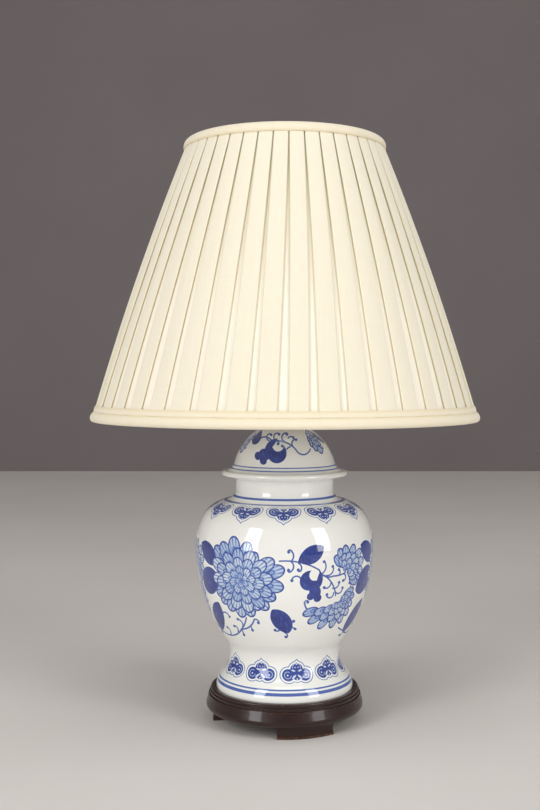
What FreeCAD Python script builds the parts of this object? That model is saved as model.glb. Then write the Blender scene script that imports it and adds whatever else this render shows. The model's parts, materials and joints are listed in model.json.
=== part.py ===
import FreeCAD, Part
import math
import os
import Sketcher

# A ginger jar table lamp, standing on the plane z = 0 with its axis on Z and its front towards -Y.
# All lengths are in millimetres and all angles in degrees.

Vector = FreeCAD.Vector
Rotation = FreeCAD.Rotation

SIZES = {
    # Threaded centre rod and what is screwed on it.
    "rod_radius": 4.85,
    "rod_bore": 3.2,
    "rod_clearance": 0.35,
    "rod_below_nut": 2.5,
    "rod_in_socket_cap": 9.0,
    "nut_across_flats": 14.3,
    "nut_height": 4.0,
    "washer_radius": 13.0,
    "washer_thickness": 1.5,
    # Turned wooden stand with three bracket feet.
    "stand_seat_level": 27.0,
    "stand_plate_thickness": 6.0,
    "stand_cavity_radius": 54.0,
    "stand_lip_level": 31.4,
    "stand_lip_edge_radius": 68.4,
    "stand_lip_rounding": 1.3,
    "stand_fillet_radius": 69.4,
    "stand_fillet_level": 27.9,
    "stand_ledge_level": 25.0,
    "stand_bulge_radius": 72.8,
    "stand_bulge_level": 15.8,
    "stand_bulge_rounding": 5.0,
    "stand_flare_angle": 15.0,
    "foot_count": 3,
    "foot_azimuth": 16.8,
    "foot_span_angle": 46.6,
    "foot_edge_radius": 66.8,
    "foot_lip_height": 2.4,
    "foot_lip_depth": 0.8,
    "foot_cove_radius": 12.0,
    "foot_inner_radius": 54.0,
    # Cord inlet in the back of the stand.
    "inlet_level": 16.2,
    "inlet_bore": 3.2,
    "inlet_sleeve_radius": 4.2,
    "inlet_flange_radius": 5.0,
    "inlet_flange_thickness": 2.0,
    "inlet_seat_depth": 3.8,
    "inlet_sleeve_inside": 3.0,
    # Ring of felt under the jar.
    "pad_thickness": 1.0,
    "seat_clearance": 0.8,
    # Jar body.
    "jar_wall": 4.5,
    "jar_floor_thickness": 5.0,
    "jar_base_recess": 2.0,
    "jar_base_recess_radius": 50.0,
    "jar_foot_radius": 63.5,
    "jar_foot_rounding": 4.0,
    "jar_waist_radius": 51.0,
    "jar_waist_height": 34.0,
    "jar_belly_radius": 82.6,
    "jar_belly_height": 135.2,
    "jar_belly_fall_radius": 155.0,
    "jar_belly_rise_radius": 55.0,
    "jar_shoulder_angle": 26.0,
    "jar_shoulder_radius": 32.0,
    "jar_neck_radius": 45.3,
    "jar_neck_cove": 9.0,
    "jar_height": 196.0,
    "jar_rod_hole": 6.5,
    # Domed lid.
    "lid_dome_radius": 48.0,
    "lid_dome_rise": 3.5,
    "lid_wall": 4.5,
    "lid_rim_radius": 58.4,
    "lid_rim_height": 5.2,
    "lid_rim_rounding": 2.3,
    "lid_cove_radius": 10.0,
    "lid_seat_radius": 46.5,
    "lid_collar_depth": 12.0,
    "lid_collar_thickness": 4.0,
    "lid_collar_clearance": 0.5,
    # Rubber washer, brass cap and brass neck above the lid.
    "lid_washer_radius": 12.0,
    "lid_washer_thickness": 1.5,
    "cap_radius": 19.5,
    "cap_thickness": 1.2,
    "cap_land_radius": 13.0,
    "cap_lift": 0.2,
    "neck_height": 12.0,
    "neck_radius": 8.0,
    "neck_bead": 1.6,
    # Harp saddle.
    "saddle_thickness": 1.5,
    "saddle_width": 12.0,
    "saddle_flat_half": 15.0,
    "saddle_rise": 3.0,
    "ear_height": 9.0,
    # Lamp socket.
    "socket_hub_radius": 7.5,
    "socket_hub_height": 7.0,
    "socket_cap_height": 15.5,
    "socket_shell_radius": 16.0,
    "socket_shell_height": 44.0,
    "socket_shell_wall": 0.6,
    "socket_cap_wall": 0.8,
    "socket_cap_overlap": 4.5,
    "socket_mouth_bead": 1.0,
    "socket_part_clearance": 0.3,
    "liner_thickness": 0.8,
    "block_height": 15.0,
    "block_lift": 1.0,
    "block_flat_depth": 3.5,
    "block_flat_height": 9.0,
    "screw_shell_wall": 0.5,
    "screw_shell_clearance": 0.3,
    "screw_shell_length": 23.0,
    "contact_thickness": 0.5,
    "contact_radius": 4.0,
    "terminal_head_radius": 2.6,
    "terminal_head_height": 1.6,
    "terminal_shank_radius": 1.4,
    "terminal_shank_length": 5.0,
    "set_screw_radius": 1.5,
    "set_screw_length": 5.5,
    # Turn switch.
    "switch_height": 8.0,
    "switch_shaft_radius": 1.6,
    "switch_shaft_clearance": 0.08,
    "switch_shaft_depth": 6.0,
    "switch_hole_clearance": 0.6,
    "knob_radius": 5.2,
    "knob_neck_radius": 3.0,
    "knob_length": 12.0,
    "knob_standoff": 3.0,
    "knob_flute_radius": 1.0,
    # Bulb.
    "bulb_contact_gap": 0.4,
    "bulb_contact_radius": 3.6,
    "bulb_contact_height": 1.6,
    "bulb_insulator_height": 4.0,
    "bulb_thread_radius": 13.1,
    "bulb_thread_depth": 0.7,
    "bulb_thread_pitch": 3.63,
    "bulb_thread_turns": 5,
    "bulb_base_height": 26.0,
    "bulb_base_wall": 0.5,
    "bulb_neck_radius": 12.2,
    "bulb_glass_radius": 30.0,
    "bulb_glass_wall": 0.8,
    "bulb_glass_gap": 0.2,
    "bulb_height": 107.5,
    "bulb_stem_radius": 5.0,
    "bulb_stem_tip": 2.2,
    "bulb_stem_length": 42.0,
    "bulb_lead_radius": 0.4,
    "bulb_lead_spread": 9.0,
    "bulb_lead_length": 14.0,
    "bulb_coil_radius": 0.8,
    # Harp.
    "harp_wire_radius": 2.2,
    "harp_leg_spacing": 56.0,
    "harp_leg_length": 36.0,
    "harp_half_width": 57.0,
    "harp_top_angle": 35.0,
    "harp_corner_radius": 11.2,
    "harp_flat_half": 9.0,
    "harp_height": 220.0,
    "harp_leg_gap": 0.3,
    "harp_bend_share": 0.5,
    "harp_eye_radius": 5.5,
    "harp_eye_thickness": 4.6,
    "sleeve_length": 18.0,
    "sleeve_wall": 1.5,
    "sleeve_clearance": 0.3,
    "sleeve_lift": 1.0,
    # Threaded stud on top of the harp.
    "stud_radius": 3.0,
    "stud_length": 12.0,
    "stud_disc_radius": 7.0,
    "stud_disc_thickness": 3.0,
    "rivet_radius": 1.6,
    "rivet_head_radius": 3.0,
    "rivet_head_height": 1.2,
    # Shade.
    "shade_bottom_level": 277.6,
    "shade_top_level": 534.0,
    "shade_bottom_radius": 177.1,
    "shade_top_radius": 88.2,
    "shade_bow": 3.4,
    "shade_edge_inset": 3.0,
    "shade_courses": 4,
    "pleat_count": 44,
    "pleat_depth": 1.8,
    "pleat_fabric": 0.8,
    "pleat_gap_bottom": 8.9,
    "pleat_gap_top": 0.5,
    "pleat_fold_share": 0.12,
    "pleat_azimuth": -1.25,
    "pleat_lean": 2.9,
    "backing_gap": 0.3,
    "backing_thickness": 2.0,
    "ring_wire_radius": 1.8,
    "ring_gap": 0.1,
    "trim_outside": 2.4,
    "trim_inside": 1.4,
    "top_trim_height": 9.4,
    "top_trim_inner_height": 6.0,
    "hem_roll_height": 9.2,
    "hem_roll_inner_height": 5.4,
    "hem_band_height": 4.8,
    "hem_band_thickness": 0.6,
    "trim_gap": 0.1,
    "trim_back_gap": 0.2,
    # Spider that carries the shade.
    "spider_arm_count": 3,
    "spider_arm_radius": 1.7,
    "spider_washer_radius": 14.0,
    "spider_washer_thickness": 1.5,
    "spider_bore_clearance": 0.4,
    "spider_lift": 0.1,
    # Finial.
    "finial_gap": 0.1,
    "finial_bore_clearance": 0.2,
    "finial_base_radius": 6.5,
    "finial_base_height": 8.0,
    "finial_neck_radius": 4.6,
    "finial_ball_radius": 8.2,
    "finial_ball_level": 16.5,
    "finial_tip_height": 34.3,
    "finial_tip_radius": 1.6,
}

LEFT = 1
RIGHT = -1

doc = FreeCAD.newDocument("ginger_jar_lamp")
sheet = doc.addObject("Spreadsheet::Sheet", "sizes")
worked = doc.addObject("App::VarSet", "worked_out")


def fill_sheet():
    """One row for each driving dimension: its name and its number."""
    for row, (name, value) in enumerate(SIZES.items(), start=1):
        sheet.set(f"A{row}", name)
        sheet.set(f"B{row}", str(value))
        sheet.setAlias(f"B{row}", name)
    doc.recompute()


class Size:
    """A number together with the formula that gives it from the sheet."""

    def __init__(self, value, formula):
        self.value = value
        self.formula = formula

    def __add__(self, other):
        other = as_size(other)
        return Size(self.value + other.value, f"({self.formula} + {other.formula})")

    def __sub__(self, other):
        other = as_size(other)
        return Size(self.value - other.value, f"({self.formula} - {other.formula})")

    def __mul__(self, other):
        other = as_size(other)
        return Size(self.value * other.value, f"({self.formula} * {other.formula})")

    def __truediv__(self, other):
        other = as_size(other)
        return Size(self.value / other.value, f"({self.formula} / {other.formula})")

    def __radd__(self, other):
        return as_size(other) + self

    def __rsub__(self, other):
        return as_size(other) - self

    def __rmul__(self, other):
        return as_size(other) * self

    def __neg__(self):
        return as_size(0) - self


def as_size(number):
    """A plain number as a size with itself as its formula."""
    return number if isinstance(number, Size) else Size(float(number), f"({number})")


def size(name):
    """The size that the sheet holds under this name."""
    return Size(float(sheet.get(name)), f"sizes.{name}")


def root(number):
    return Size(math.sqrt(number.value), f"sqrt({number.formula})")


def sine(angle):
    return Size(math.sin(math.radians(angle.value)), f"sin({angle.formula})")


def cosine(angle):
    return Size(math.cos(math.radians(angle.value)), f"cos({angle.formula})")


def keep(name, number):
    """Stores a worked-out size under its own name, so that later formulas stay short."""
    worked.addProperty("App::PropertyFloat", name, "worked out")
    worked.setExpression(name, number.formula)
    return Size(number.value, f"worked_out.{name}")


def sizes(*names):
    return [size(name) for name in names]


# Sketches and bodies.


def arc_middle(start, end, radius, side):
    """The middle point of the short arc from start to end whose centre is on this side of it."""
    chord = end - start
    half = chord.Length / 2
    rise = radius - math.sqrt(max(radius * radius - half * half, 0.0))
    left = Vector(-chord.y, chord.x, 0).normalize()
    return (start + end) * 0.5 - left * (side * rise)


def pin_point(sketch, geometry, corner, point):
    """Holds a corner of a sketch at a pair of sizes from the origin."""
    for kind, number in (("DistanceX", point[0]), ("DistanceY", point[1])):
        number = as_size(number)
        index = sketch.addConstraint(Sketcher.Constraint(kind, -1, 1, geometry, corner, number.value))
        sketch.setExpression(f"Constraints[{index}]", number.formula)


def sketch_on(body, name, plane="XZ_Plane"):
    sketch = body.newObject("Sketcher::SketchObject", name)
    support = [one for one in body.Origin.OriginFeatures if one.Role == plane][0]
    sketch.AttachmentSupport = (support, "")
    sketch.MapMode = "FlatFace"
    return sketch


def draw(sketch, points, closed=True):
    """Draws lines and arcs from point to point.

    A point is (across, up), or (across, up, radius, side) where the stretch that leads to it is an arc
    whose centre lies on that side of the way there.
    """
    corners = [Vector(as_size(p[0]).value, as_size(p[1]).value, 0) for p in points]
    stretches = []
    for index in range(len(points) if closed else len(points) - 1):
        end = (index + 1) % len(points)
        start_at, end_at = corners[index], corners[end]
        if len(points[end]) == 4:
            radius, side = as_size(points[end][2]), points[end][3]
            middle = arc_middle(start_at, end_at, radius.value, side)
            first = 1 if side == LEFT else 2
            ends = (start_at, end_at) if side == LEFT else (end_at, start_at)
            geometry = sketch.addGeometry(Part.Arc(ends[0], middle, ends[1]))
            row = sketch.addConstraint(Sketcher.Constraint("Radius", geometry, radius.value))
            sketch.setExpression(f"Constraints[{row}]", radius.formula)
        else:
            geometry = sketch.addGeometry(Part.LineSegment(start_at, end_at))
            first = 1
        stretches.append((geometry, first, 3 - first))
    for index, (geometry, first, last) in enumerate(stretches):
        pin_point(sketch, geometry, first, points[index])
        after = stretches[(index + 1) % len(stretches)]
        if closed or index + 1 < len(stretches):
            sketch.addConstraint(Sketcher.Constraint("Coincident", geometry, last, after[0], after[1]))
        else:
            pin_point(sketch, geometry, last, points[index + 1])


def new_body(label):
    body = doc.addObject("PartDesign::Body", label + "_body")
    body.Label = label
    return body


def turned(label, points, angle=360.0):
    """A body turned about Z from an outline of (radius, height) points."""
    body = new_body(label)
    sketch = sketch_on(body, label + "_outline")
    draw(sketch, points)
    turn = body.newObject("PartDesign::Revolution", label + "_turn")
    turn.Profile = sketch
    turn.ReferenceAxis = (sketch, ["V_Axis"])
    turn.Angle = angle
    sketch.Visibility = False
    return body


def put(thing, x=0, y=0, z=0, rotation=None):
    """Places an object: its three coordinates are bound to sizes."""
    x, y, z = as_size(x), as_size(y), as_size(z)
    thing.Placement = FreeCAD.Placement(Vector(x.value, y.value, z.value), rotation or Rotation())
    for letter, number in (("x", x), ("y", y), ("z", z)):
        thing.setExpression(f".Placement.Base.{letter}", number.formula)
    return thing


def cylinder(name, radius, height, x=0, y=0, z=0, rotation=None):
    thing = doc.addObject("Part::Cylinder", name)
    thing.setExpression("Radius", as_size(radius).formula)
    thing.setExpression("Height", as_size(height).formula)
    return put(thing, x, y, z, rotation)


def box(name, length, width, height, x=0, y=0, z=0, rotation=None):
    thing = doc.addObject("Part::Box", name)
    for side, number in (("Length", length), ("Width", width), ("Height", height)):
        thing.setExpression(side, as_size(number).formula)
    return put(thing, x, y, z, rotation)


def cut(label, base, tool):
    thing = doc.addObject("Part::Cut", label + "_cut")
    thing.Base = base
    thing.Tool = tool
    thing.Label = label
    return thing


def fuse(label, pieces):
    thing = doc.addObject("Part::MultiFuse", label + "_whole")
    thing.Shapes = pieces
    thing.Label = label
    return thing


TO_FRONT = Rotation(Vector(1, 0, 0), 90)
TO_BACK = Rotation(Vector(1, 0, 0), -90)
TO_RIGHT = Rotation(Vector(0, 1, 0), 90)

fill_sheet()

# Levels that pieces share, from the table upwards.
rod_radius = size("rod_radius")
rod_hole = keep("rod_hole", rod_radius + size("rod_clearance"))
seat_level = size("stand_seat_level")
cavity_top = keep("cavity_top", seat_level - size("stand_plate_thickness"))
washer_bottom = keep("washer_bottom", cavity_top - size("washer_thickness"))
nut_bottom = keep("nut_bottom", washer_bottom - size("nut_height"))
jar_bottom = keep("jar_bottom", seat_level + size("pad_thickness"))
jar_top = keep("jar_top", jar_bottom + size("jar_height"))
dome_centre = keep("dome_centre", jar_top + size("lid_dome_rise"))
dome_radius = size("lid_dome_radius")
dome_hole_level = keep(
    "dome_hole_level",
    dome_centre + root(dome_radius * dome_radius - size("jar_rod_hole") * size("jar_rod_hole")),
)
cap_under = keep("cap_under", dome_hole_level + size("lid_washer_thickness"))
cap_top = keep("cap_top", cap_under + size("cap_thickness"))
neck_top = keep("neck_top", cap_top + size("neck_height"))
socket_bottom = keep("socket_bottom", neck_top + size("saddle_thickness"))
cap_skirt = keep("cap_skirt", socket_bottom + size("socket_cap_height"))
shell_bottom = keep("shell_bottom", cap_skirt - size("socket_cap_overlap"))
shell_top = keep("shell_top", shell_bottom + size("socket_shell_height"))
block_bottom = keep("block_bottom", shell_bottom + size("block_lift"))
block_top = keep("block_top", block_bottom + size("block_height"))
switch_level = keep("switch_level", block_bottom + size("switch_height"))
terminal_level = keep("terminal_level", block_bottom + size("terminal_head_radius"))
harp_bottom = keep("harp_bottom", socket_bottom + size("saddle_rise") + size("ear_height"))
harp_top = keep("harp_top", neck_top + size("harp_height"))
harp_crown = keep("harp_crown", harp_top + size("harp_eye_thickness") / 2)
disc_top = keep("disc_top", harp_crown + size("stud_disc_thickness"))
spider_bottom = keep("spider_bottom", disc_top + size("spider_lift"))
spider_top = keep("spider_top", spider_bottom + size("spider_washer_thickness"))
finial_bottom = keep("finial_bottom", spider_top + size("finial_gap"))


def wood_stand():
    """A turned disc with a moulded edge, and three feet cut from the ring below it."""
    bulge, level = sizes("stand_bulge_radius", "stand_bulge_level")
    rounding, flare = sizes("stand_bulge_rounding", "stand_flare_angle")
    ledge, edge = sizes("stand_ledge_level", "stand_lip_edge_radius")
    fillet, fillet_level = sizes("stand_fillet_radius", "stand_fillet_level")
    lip, lip_rounding = sizes("stand_lip_level", "stand_lip_rounding")
    cavity = size("stand_cavity_radius")
    belly_up = keep("bulge_upper_level", level + rounding * sine(flare))
    belly_out = keep("bulge_upper_radius", bulge - rounding + rounding * cosine(flare))
    ledge_out = keep("ledge_radius", belly_out - (ledge - belly_up) * sine(flare) / cosine(flare))
    apron_bottom = keep("apron_bottom", level - rounding)
    seat_edge = keep("seat_edge", size("jar_foot_radius") + size("seat_clearance"))
    body = turned("stand_turning", [
        (rod_hole, cavity_top),
        (cavity, cavity_top),
        (cavity, apron_bottom),
        (bulge - rounding, apron_bottom),
        (belly_out, belly_up, rounding, LEFT),
        (ledge_out, ledge),
        (fillet, ledge),
        (fillet, fillet_level),
        (edge, fillet_level),
        (edge, lip - lip_rounding),
        (edge - lip_rounding, lip, lip_rounding, LEFT),
        (seat_edge, lip),
        (seat_edge, seat_level),
        (rod_hole, seat_level),
    ])
    foot_edge, foot_lip, lip_depth = sizes("foot_edge_radius", "foot_lip_height", "foot_lip_depth")
    cove, foot_inner = sizes("foot_cove_radius", "foot_inner_radius")
    root_level = keep("foot_root_level", level + rounding / 2)
    sketch = sketch_on(body, "foot_outline")
    draw(sketch, [
        (foot_inner, 0),
        (foot_edge, 0),
        (foot_edge, foot_lip),
        (foot_edge - lip_depth, foot_lip + lip_depth),
        (bulge - rounding, apron_bottom, cove, RIGHT),
        (bulge - rounding, root_level),
        (foot_inner, root_level),
    ])
    foot = body.newObject("PartDesign::Revolution", "foot")
    foot.Profile = sketch
    foot.ReferenceAxis = (sketch, ["V_Axis"])
    foot.Midplane = True
    foot.setExpression("Angle", size("foot_span_angle").formula)
    sketch.Visibility = False
    feet = body.newObject("PartDesign::PolarPattern", "feet")
    feet.Originals = [foot]
    feet.Axis = (sketch, ["V_Axis"])
    feet.Angle = 360
    feet.setExpression("Occurrences", size("foot_count").formula)
    body.Tip = feet
    body.Placement = FreeCAD.Placement(Vector(), Rotation(Vector(0, 0, 1), size("foot_azimuth").value - 90))
    inlet, sleeve = sizes("inlet_level", "inlet_sleeve_radius")
    hole = cylinder("inlet_hole", sleeve, bulge - cavity + 10, 0, cavity - 5, inlet, TO_BACK)
    seat = cylinder(
        "inlet_seat",
        size("inlet_flange_radius") + size("trim_gap"),
        size("inlet_seat_depth") * 3,
        0, bulge - size("inlet_seat_depth"), inlet, TO_BACK,
    )
    return cut("wood_stand", body, fuse("inlet_tool", [hole, seat]))


def cord_bushing():
    """The flanged tube that lines the cord inlet; the flange sits in a spot face."""
    sleeve, flange = sizes("inlet_sleeve_radius", "inlet_flange_radius")
    bore, thick = sizes("inlet_bore", "inlet_flange_thickness")
    seat = keep("inlet_seat_face", size("stand_bulge_radius") - size("inlet_seat_depth"))
    inside = keep("inlet_inside_end", size("stand_cavity_radius") - size("inlet_sleeve_inside"))
    length = keep("inlet_sleeve_length", seat - inside)
    body = turned("cord_bushing", [
        (bore, 0),
        (sleeve, 0),
        (sleeve, length),
        (flange, length),
        (flange, length + thick),
        (bore, length + thick),
    ])
    return put(body, 0, inside, size("inlet_level"), TO_BACK)


def hex_nut():
    """The hexagonal nut that draws the whole lamp together from below."""
    body = new_body("bottom_nut")
    sketch = sketch_on(body, "nut_outline", "XY_Plane")
    corner = size("nut_across_flats") / root(as_size(3))
    corners = []
    for step in range(6):
        turn = as_size(60 * step)
        corners.append((corner * cosine(turn), corner * sine(turn)))
    draw(sketch, corners)
    circle = sketch.addGeometry(Part.Circle(Vector(), Vector(0, 0, 1), rod_radius.value))
    row = sketch.addConstraint(Sketcher.Constraint("Radius", circle, rod_radius.value))
    sketch.setExpression(f"Constraints[{row}]", rod_radius.formula)
    sketch.addConstraint(Sketcher.Constraint("Coincident", circle, 3, -1, 1))
    pad = body.newObject("PartDesign::Pad", "nut_pad")
    pad.Profile = sketch
    pad.setExpression("Length", size("nut_height").formula)
    sketch.Visibility = False
    return put(body, 0, 0, nut_bottom)


def tube(label, inner, outer, bottom, top):
    """A plain ring or tube about Z."""
    return turned(label, [(inner, bottom), (outer, bottom), (outer, top), (inner, top)])


def rod_pieces():
    rod_bottom = keep("rod_bottom", nut_bottom - size("rod_below_nut"))
    rod_top = keep("rod_top", socket_bottom + size("rod_in_socket_cap"))
    hex_nut_piece = hex_nut()
    return [
        hex_nut_piece,
        tube("bottom_washer", rod_hole, size("washer_radius"), washer_bottom, cavity_top),
        tube("centre_rod", size("rod_bore"), rod_radius, rod_bottom, rod_top),
        tube("jar_pad", size("jar_base_recess_radius"), size("jar_foot_radius") - size("jar_foot_rounding"),
             seat_level, jar_bottom),
    ]


def jar_levels():
    """The centres and radii of the arcs that make up the jar's side."""
    foot_radius, waist_radius = sizes("jar_foot_radius", "jar_waist_radius")
    belly_radius = size("jar_belly_radius")
    foot_level = keep("jar_foot_level", jar_bottom + size("jar_foot_rounding"))
    waist_level = keep("jar_waist_level", jar_bottom + size("jar_waist_height"))
    belly_level = keep("jar_belly_level", jar_bottom + size("jar_belly_height"))
    fall, rise = sizes("jar_belly_fall_radius", "jar_belly_rise_radius")
    across, up = belly_radius - waist_radius, belly_level - waist_level
    belly_sum = keep("jar_belly_sum", (across * across + up * up) / (2 * across))
    waist_arc = keep("jar_waist_arc", belly_sum - fall)
    across, up = foot_radius - waist_radius, waist_level - foot_level
    foot_sum = keep("jar_foot_sum", (across * across + up * up) / (2 * across))
    foot_arc = keep("jar_foot_arc", foot_sum - waist_arc)
    angle, shoulder, cove = sizes("jar_shoulder_angle", "jar_shoulder_radius", "jar_neck_cove")
    shoulder_x = keep("jar_shoulder_x", belly_radius - rise + (rise - shoulder) * cosine(angle))
    shoulder_z = keep("jar_shoulder_z", belly_level + (rise - shoulder) * sine(angle))
    cove_x = keep("jar_cove_x", size("jar_neck_radius") + cove)
    reach, gap = shoulder + cove, cove_x - shoulder_x
    cove_z = keep("jar_cove_z", shoulder_z + root(reach * reach - gap * gap))
    return {
        "foot": (foot_radius - foot_arc, foot_level, foot_arc),
        "waist": (waist_radius + waist_arc, waist_level, waist_arc),
        "fall": (belly_radius - fall, belly_level, fall),
        "rise": (belly_radius - rise, belly_level, rise),
        "shoulder": (shoulder_x, shoulder_z, shoulder),
        "cove": (cove_x, cove_z, cove),
    }


def meeting_point(outer, hollow, inset):
    """Where a bulging arc and a hollow arc touch, on the surface set in by inset."""
    total = outer[2] + hollow[2]
    share = (hollow[2] + inset) / total
    across = hollow[0] + (outer[0] - hollow[0]) * share
    up = hollow[1] + (outer[1] - hollow[1]) * share
    return across, up


def jar_body():
    """The porcelain jar: foot, waist, belly, shoulder and neck as tangent arcs, with one wall."""
    arcs = jar_levels()
    wall, belly, angle = sizes("jar_wall", "jar_belly_radius", "jar_shoulder_angle")
    neck, rounding, hole = sizes("jar_neck_radius", "jar_foot_rounding", "jar_rod_hole")
    recess_radius, foot_radius = sizes("jar_base_recess_radius", "jar_foot_radius")
    recess_top = keep("jar_recess_top", jar_bottom + size("jar_base_recess"))
    floor = keep("jar_floor", recess_top + size("jar_floor_thickness"))
    none = as_size(0)

    def crossing(inset, name):
        low = meeting_point(arcs["foot"], arcs["waist"], inset)
        high = meeting_point(arcs["fall"], arcs["waist"], inset)
        neck_end = meeting_point(arcs["shoulder"], arcs["cove"], inset)
        turn = size("jar_belly_rise_radius") - inset
        turned_in = (arcs["rise"][0] + turn * cosine(angle), arcs["rise"][1] + turn * sine(angle))
        points = (low, high, turned_in, neck_end)
        return [
            (keep(f"jar_{name}_x_{n}", p[0]), keep(f"jar_{name}_z_{n}", p[1]))
            for n, p in zip("abcd", points)
        ]

    out = crossing(none, "outer")
    inner = crossing(wall, "inner")
    foot_in = arcs["foot"][2] - wall
    below = arcs["foot"][1] - floor
    floor_edge = keep("jar_floor_edge", arcs["foot"][0] + root(foot_in * foot_in - below * below))
    belly_level = arcs["fall"][1]
    return turned("jar_body", [
        (hole, recess_top),
        (recess_radius, recess_top),
        (recess_radius, jar_bottom),
        (foot_radius - rounding, jar_bottom),
        (foot_radius, arcs["foot"][1], rounding, LEFT),
        (*out[0], arcs["foot"][2], LEFT),
        (*out[1], arcs["waist"][2], RIGHT),
        (belly, belly_level, arcs["fall"][2], LEFT),
        (*out[2], arcs["rise"][2], LEFT),
        (*out[3], arcs["shoulder"][2], LEFT),
        (neck, arcs["cove"][1], arcs["cove"][2], RIGHT),
        (neck, jar_top),
        (neck - wall, jar_top),
        (neck - wall, arcs["cove"][1]),
        (*inner[3], arcs["cove"][2] + wall, LEFT),
        (*inner[2], arcs["shoulder"][2] - wall, RIGHT),
        (belly - wall, belly_level, arcs["rise"][2] - wall, RIGHT),
        (*inner[1], arcs["fall"][2] - wall, RIGHT),
        (*inner[0], arcs["waist"][2] + wall, LEFT),
        (floor_edge, floor, foot_in, RIGHT),
        (hole, floor),
    ])


def jar_lid():
    """The domed lid: a sphere that runs out into a brim, and a collar that drops into the jar's mouth."""
    rim_radius, rim_round, cove = sizes("lid_rim_radius", "lid_rim_rounding", "lid_cove_radius")
    rim_x = keep("lid_rim_x", rim_radius - rim_round)
    rim_z = keep("lid_rim_z", jar_top + size("lid_rim_height"))
    up = rim_z - dome_centre
    span = keep("lid_span", root(rim_x * rim_x + up * up))
    to_dome, to_rim = dome_radius + cove, cove + rim_round
    along = keep("lid_along", (to_dome * to_dome - to_rim * to_rim + span * span) / (2 * span))
    off = keep("lid_off", root(to_dome * to_dome - along * along))
    cove_x = keep("lid_cove_x", (along * rim_x - off * up) / span)
    cove_z = keep("lid_cove_z", dome_centre + (along * up + off * rim_x) / span)
    dome_end_x = keep("lid_dome_end_x", cove_x * dome_radius / to_dome)
    dome_end_z = keep("lid_dome_end_z", dome_centre + (cove_z - dome_centre) * dome_radius / to_dome)
    rim_top_x = keep("lid_rim_top_x", rim_x + (cove_x - rim_x) * rim_round / to_rim)
    rim_top_z = keep("lid_rim_top_z", rim_z + (cove_z - rim_z) * rim_round / to_rim)
    wall, hole, seat = sizes("lid_wall", "jar_rod_hole", "lid_seat_radius")
    collar_out = keep(
        "lid_collar_out", size("jar_neck_radius") - size("jar_wall") - size("lid_collar_clearance")
    )
    collar_in = keep("lid_collar_in", collar_out - size("lid_collar_thickness"))
    collar_end = keep("lid_collar_end", jar_top - size("lid_collar_depth"))
    inside = dome_radius - wall
    spring = keep("lid_spring_level", dome_centre + root(inside * inside - collar_in * collar_in))
    crown = keep("lid_crown_level", dome_centre + root(inside * inside - hole * hole))
    return turned("jar_lid", [
        (collar_in, collar_end),
        (collar_out, collar_end),
        (collar_out, jar_top),
        (seat, jar_top),
        (rim_x, rim_z - rim_round),
        (rim_radius, rim_z, rim_round, LEFT),
        (rim_top_x, rim_top_z, rim_round, LEFT),
        (dome_end_x, dome_end_z, cove, RIGHT),
        (hole, dome_hole_level, dome_radius, LEFT),
        (hole, crown),
        (collar_in, spring, inside, RIGHT),
    ])


def brass_above_lid():
    """The rubber washer, the spun cap over it and the turned neck that hides the rod."""
    washer = tube("lid_washer", rod_hole, size("lid_washer_radius"), dome_hole_level, cap_under)
    radius, thick, land, lift = sizes("cap_radius", "cap_thickness", "cap_land_radius", "cap_lift")
    rim_rise = root(dome_radius * dome_radius - radius * radius)
    rim_under = keep("cap_rim_under", dome_centre + rim_rise + lift)
    slope = keep("cap_slope", radius - thick)
    inner_rise = root(dome_radius * dome_radius - slope * slope)
    inner_under = keep("cap_inner_under", dome_centre + inner_rise + lift)
    cap = turned("vase_cap", [
        (rod_hole, cap_under),
        (land, cap_under),
        (slope, inner_under),
        (radius, rim_under),
        (radius, rim_under + thick),
        (land + thick / 2, cap_top),
        (rod_hole, cap_top),
    ])
    neck_radius, bead = sizes("neck_radius", "neck_bead")
    middle = cap_top + size("neck_height") / 2
    neck = turned("neck_spacer", [
        (rod_hole, cap_top),
        (neck_radius + bead, cap_top),
        (neck_radius + bead, cap_top + bead),
        (neck_radius, cap_top + 2 * bead),
        (neck_radius, middle - bead),
        (neck_radius, middle + bead, 1.25 * bead, LEFT),
        (neck_radius, neck_top - 2 * bead),
        (neck_radius + bead, neck_top - bead),
        (neck_radius + bead, neck_top),
        (rod_hole, neck_top),
    ])
    return [washer, cap, neck]


leg_x = keep("leg_x", size("harp_leg_spacing") / 2)
wire = size("harp_wire_radius")


def harp_saddle():
    """A bent strip under the socket, with a round ear at each end for the harp's leg."""
    thick, width, flat = sizes("saddle_thickness", "saddle_width", "saddle_flat_half")
    rise = size("saddle_rise")
    body = new_body("saddle_strip")
    sketch = sketch_on(body, "saddle_outline")
    low = neck_top
    high = neck_top + rise
    end = leg_x + wire
    draw(sketch, [
        (-end, high),
        (wire - leg_x, high),
        (-flat, low),
        (flat, low),
        (leg_x - wire, high),
        (end, high),
        (end, high + thick),
        (leg_x - wire, high + thick),
        (flat, low + thick),
        (-flat, low + thick),
        (wire - leg_x, high + thick),
        (-end, high + thick),
    ])
    pad = body.newObject("PartDesign::Pad", "saddle_pad")
    pad.Profile = sketch
    pad.Midplane = True
    pad.setExpression("Length", width.formula)
    sketch.Visibility = False
    ears = []
    for name, side in (("ear_right", 1), ("ear_left", -1)):
        ears.append(cylinder(name, wire, size("ear_height") + thick / 2, side * leg_x, 0, high + thick / 2))
    hole = cylinder("saddle_hole", rod_hole, 4 * thick, 0, 0, neck_top - thick)
    return cut("harp_saddle", fuse("saddle_with_ears", [body] + ears), hole)


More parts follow.
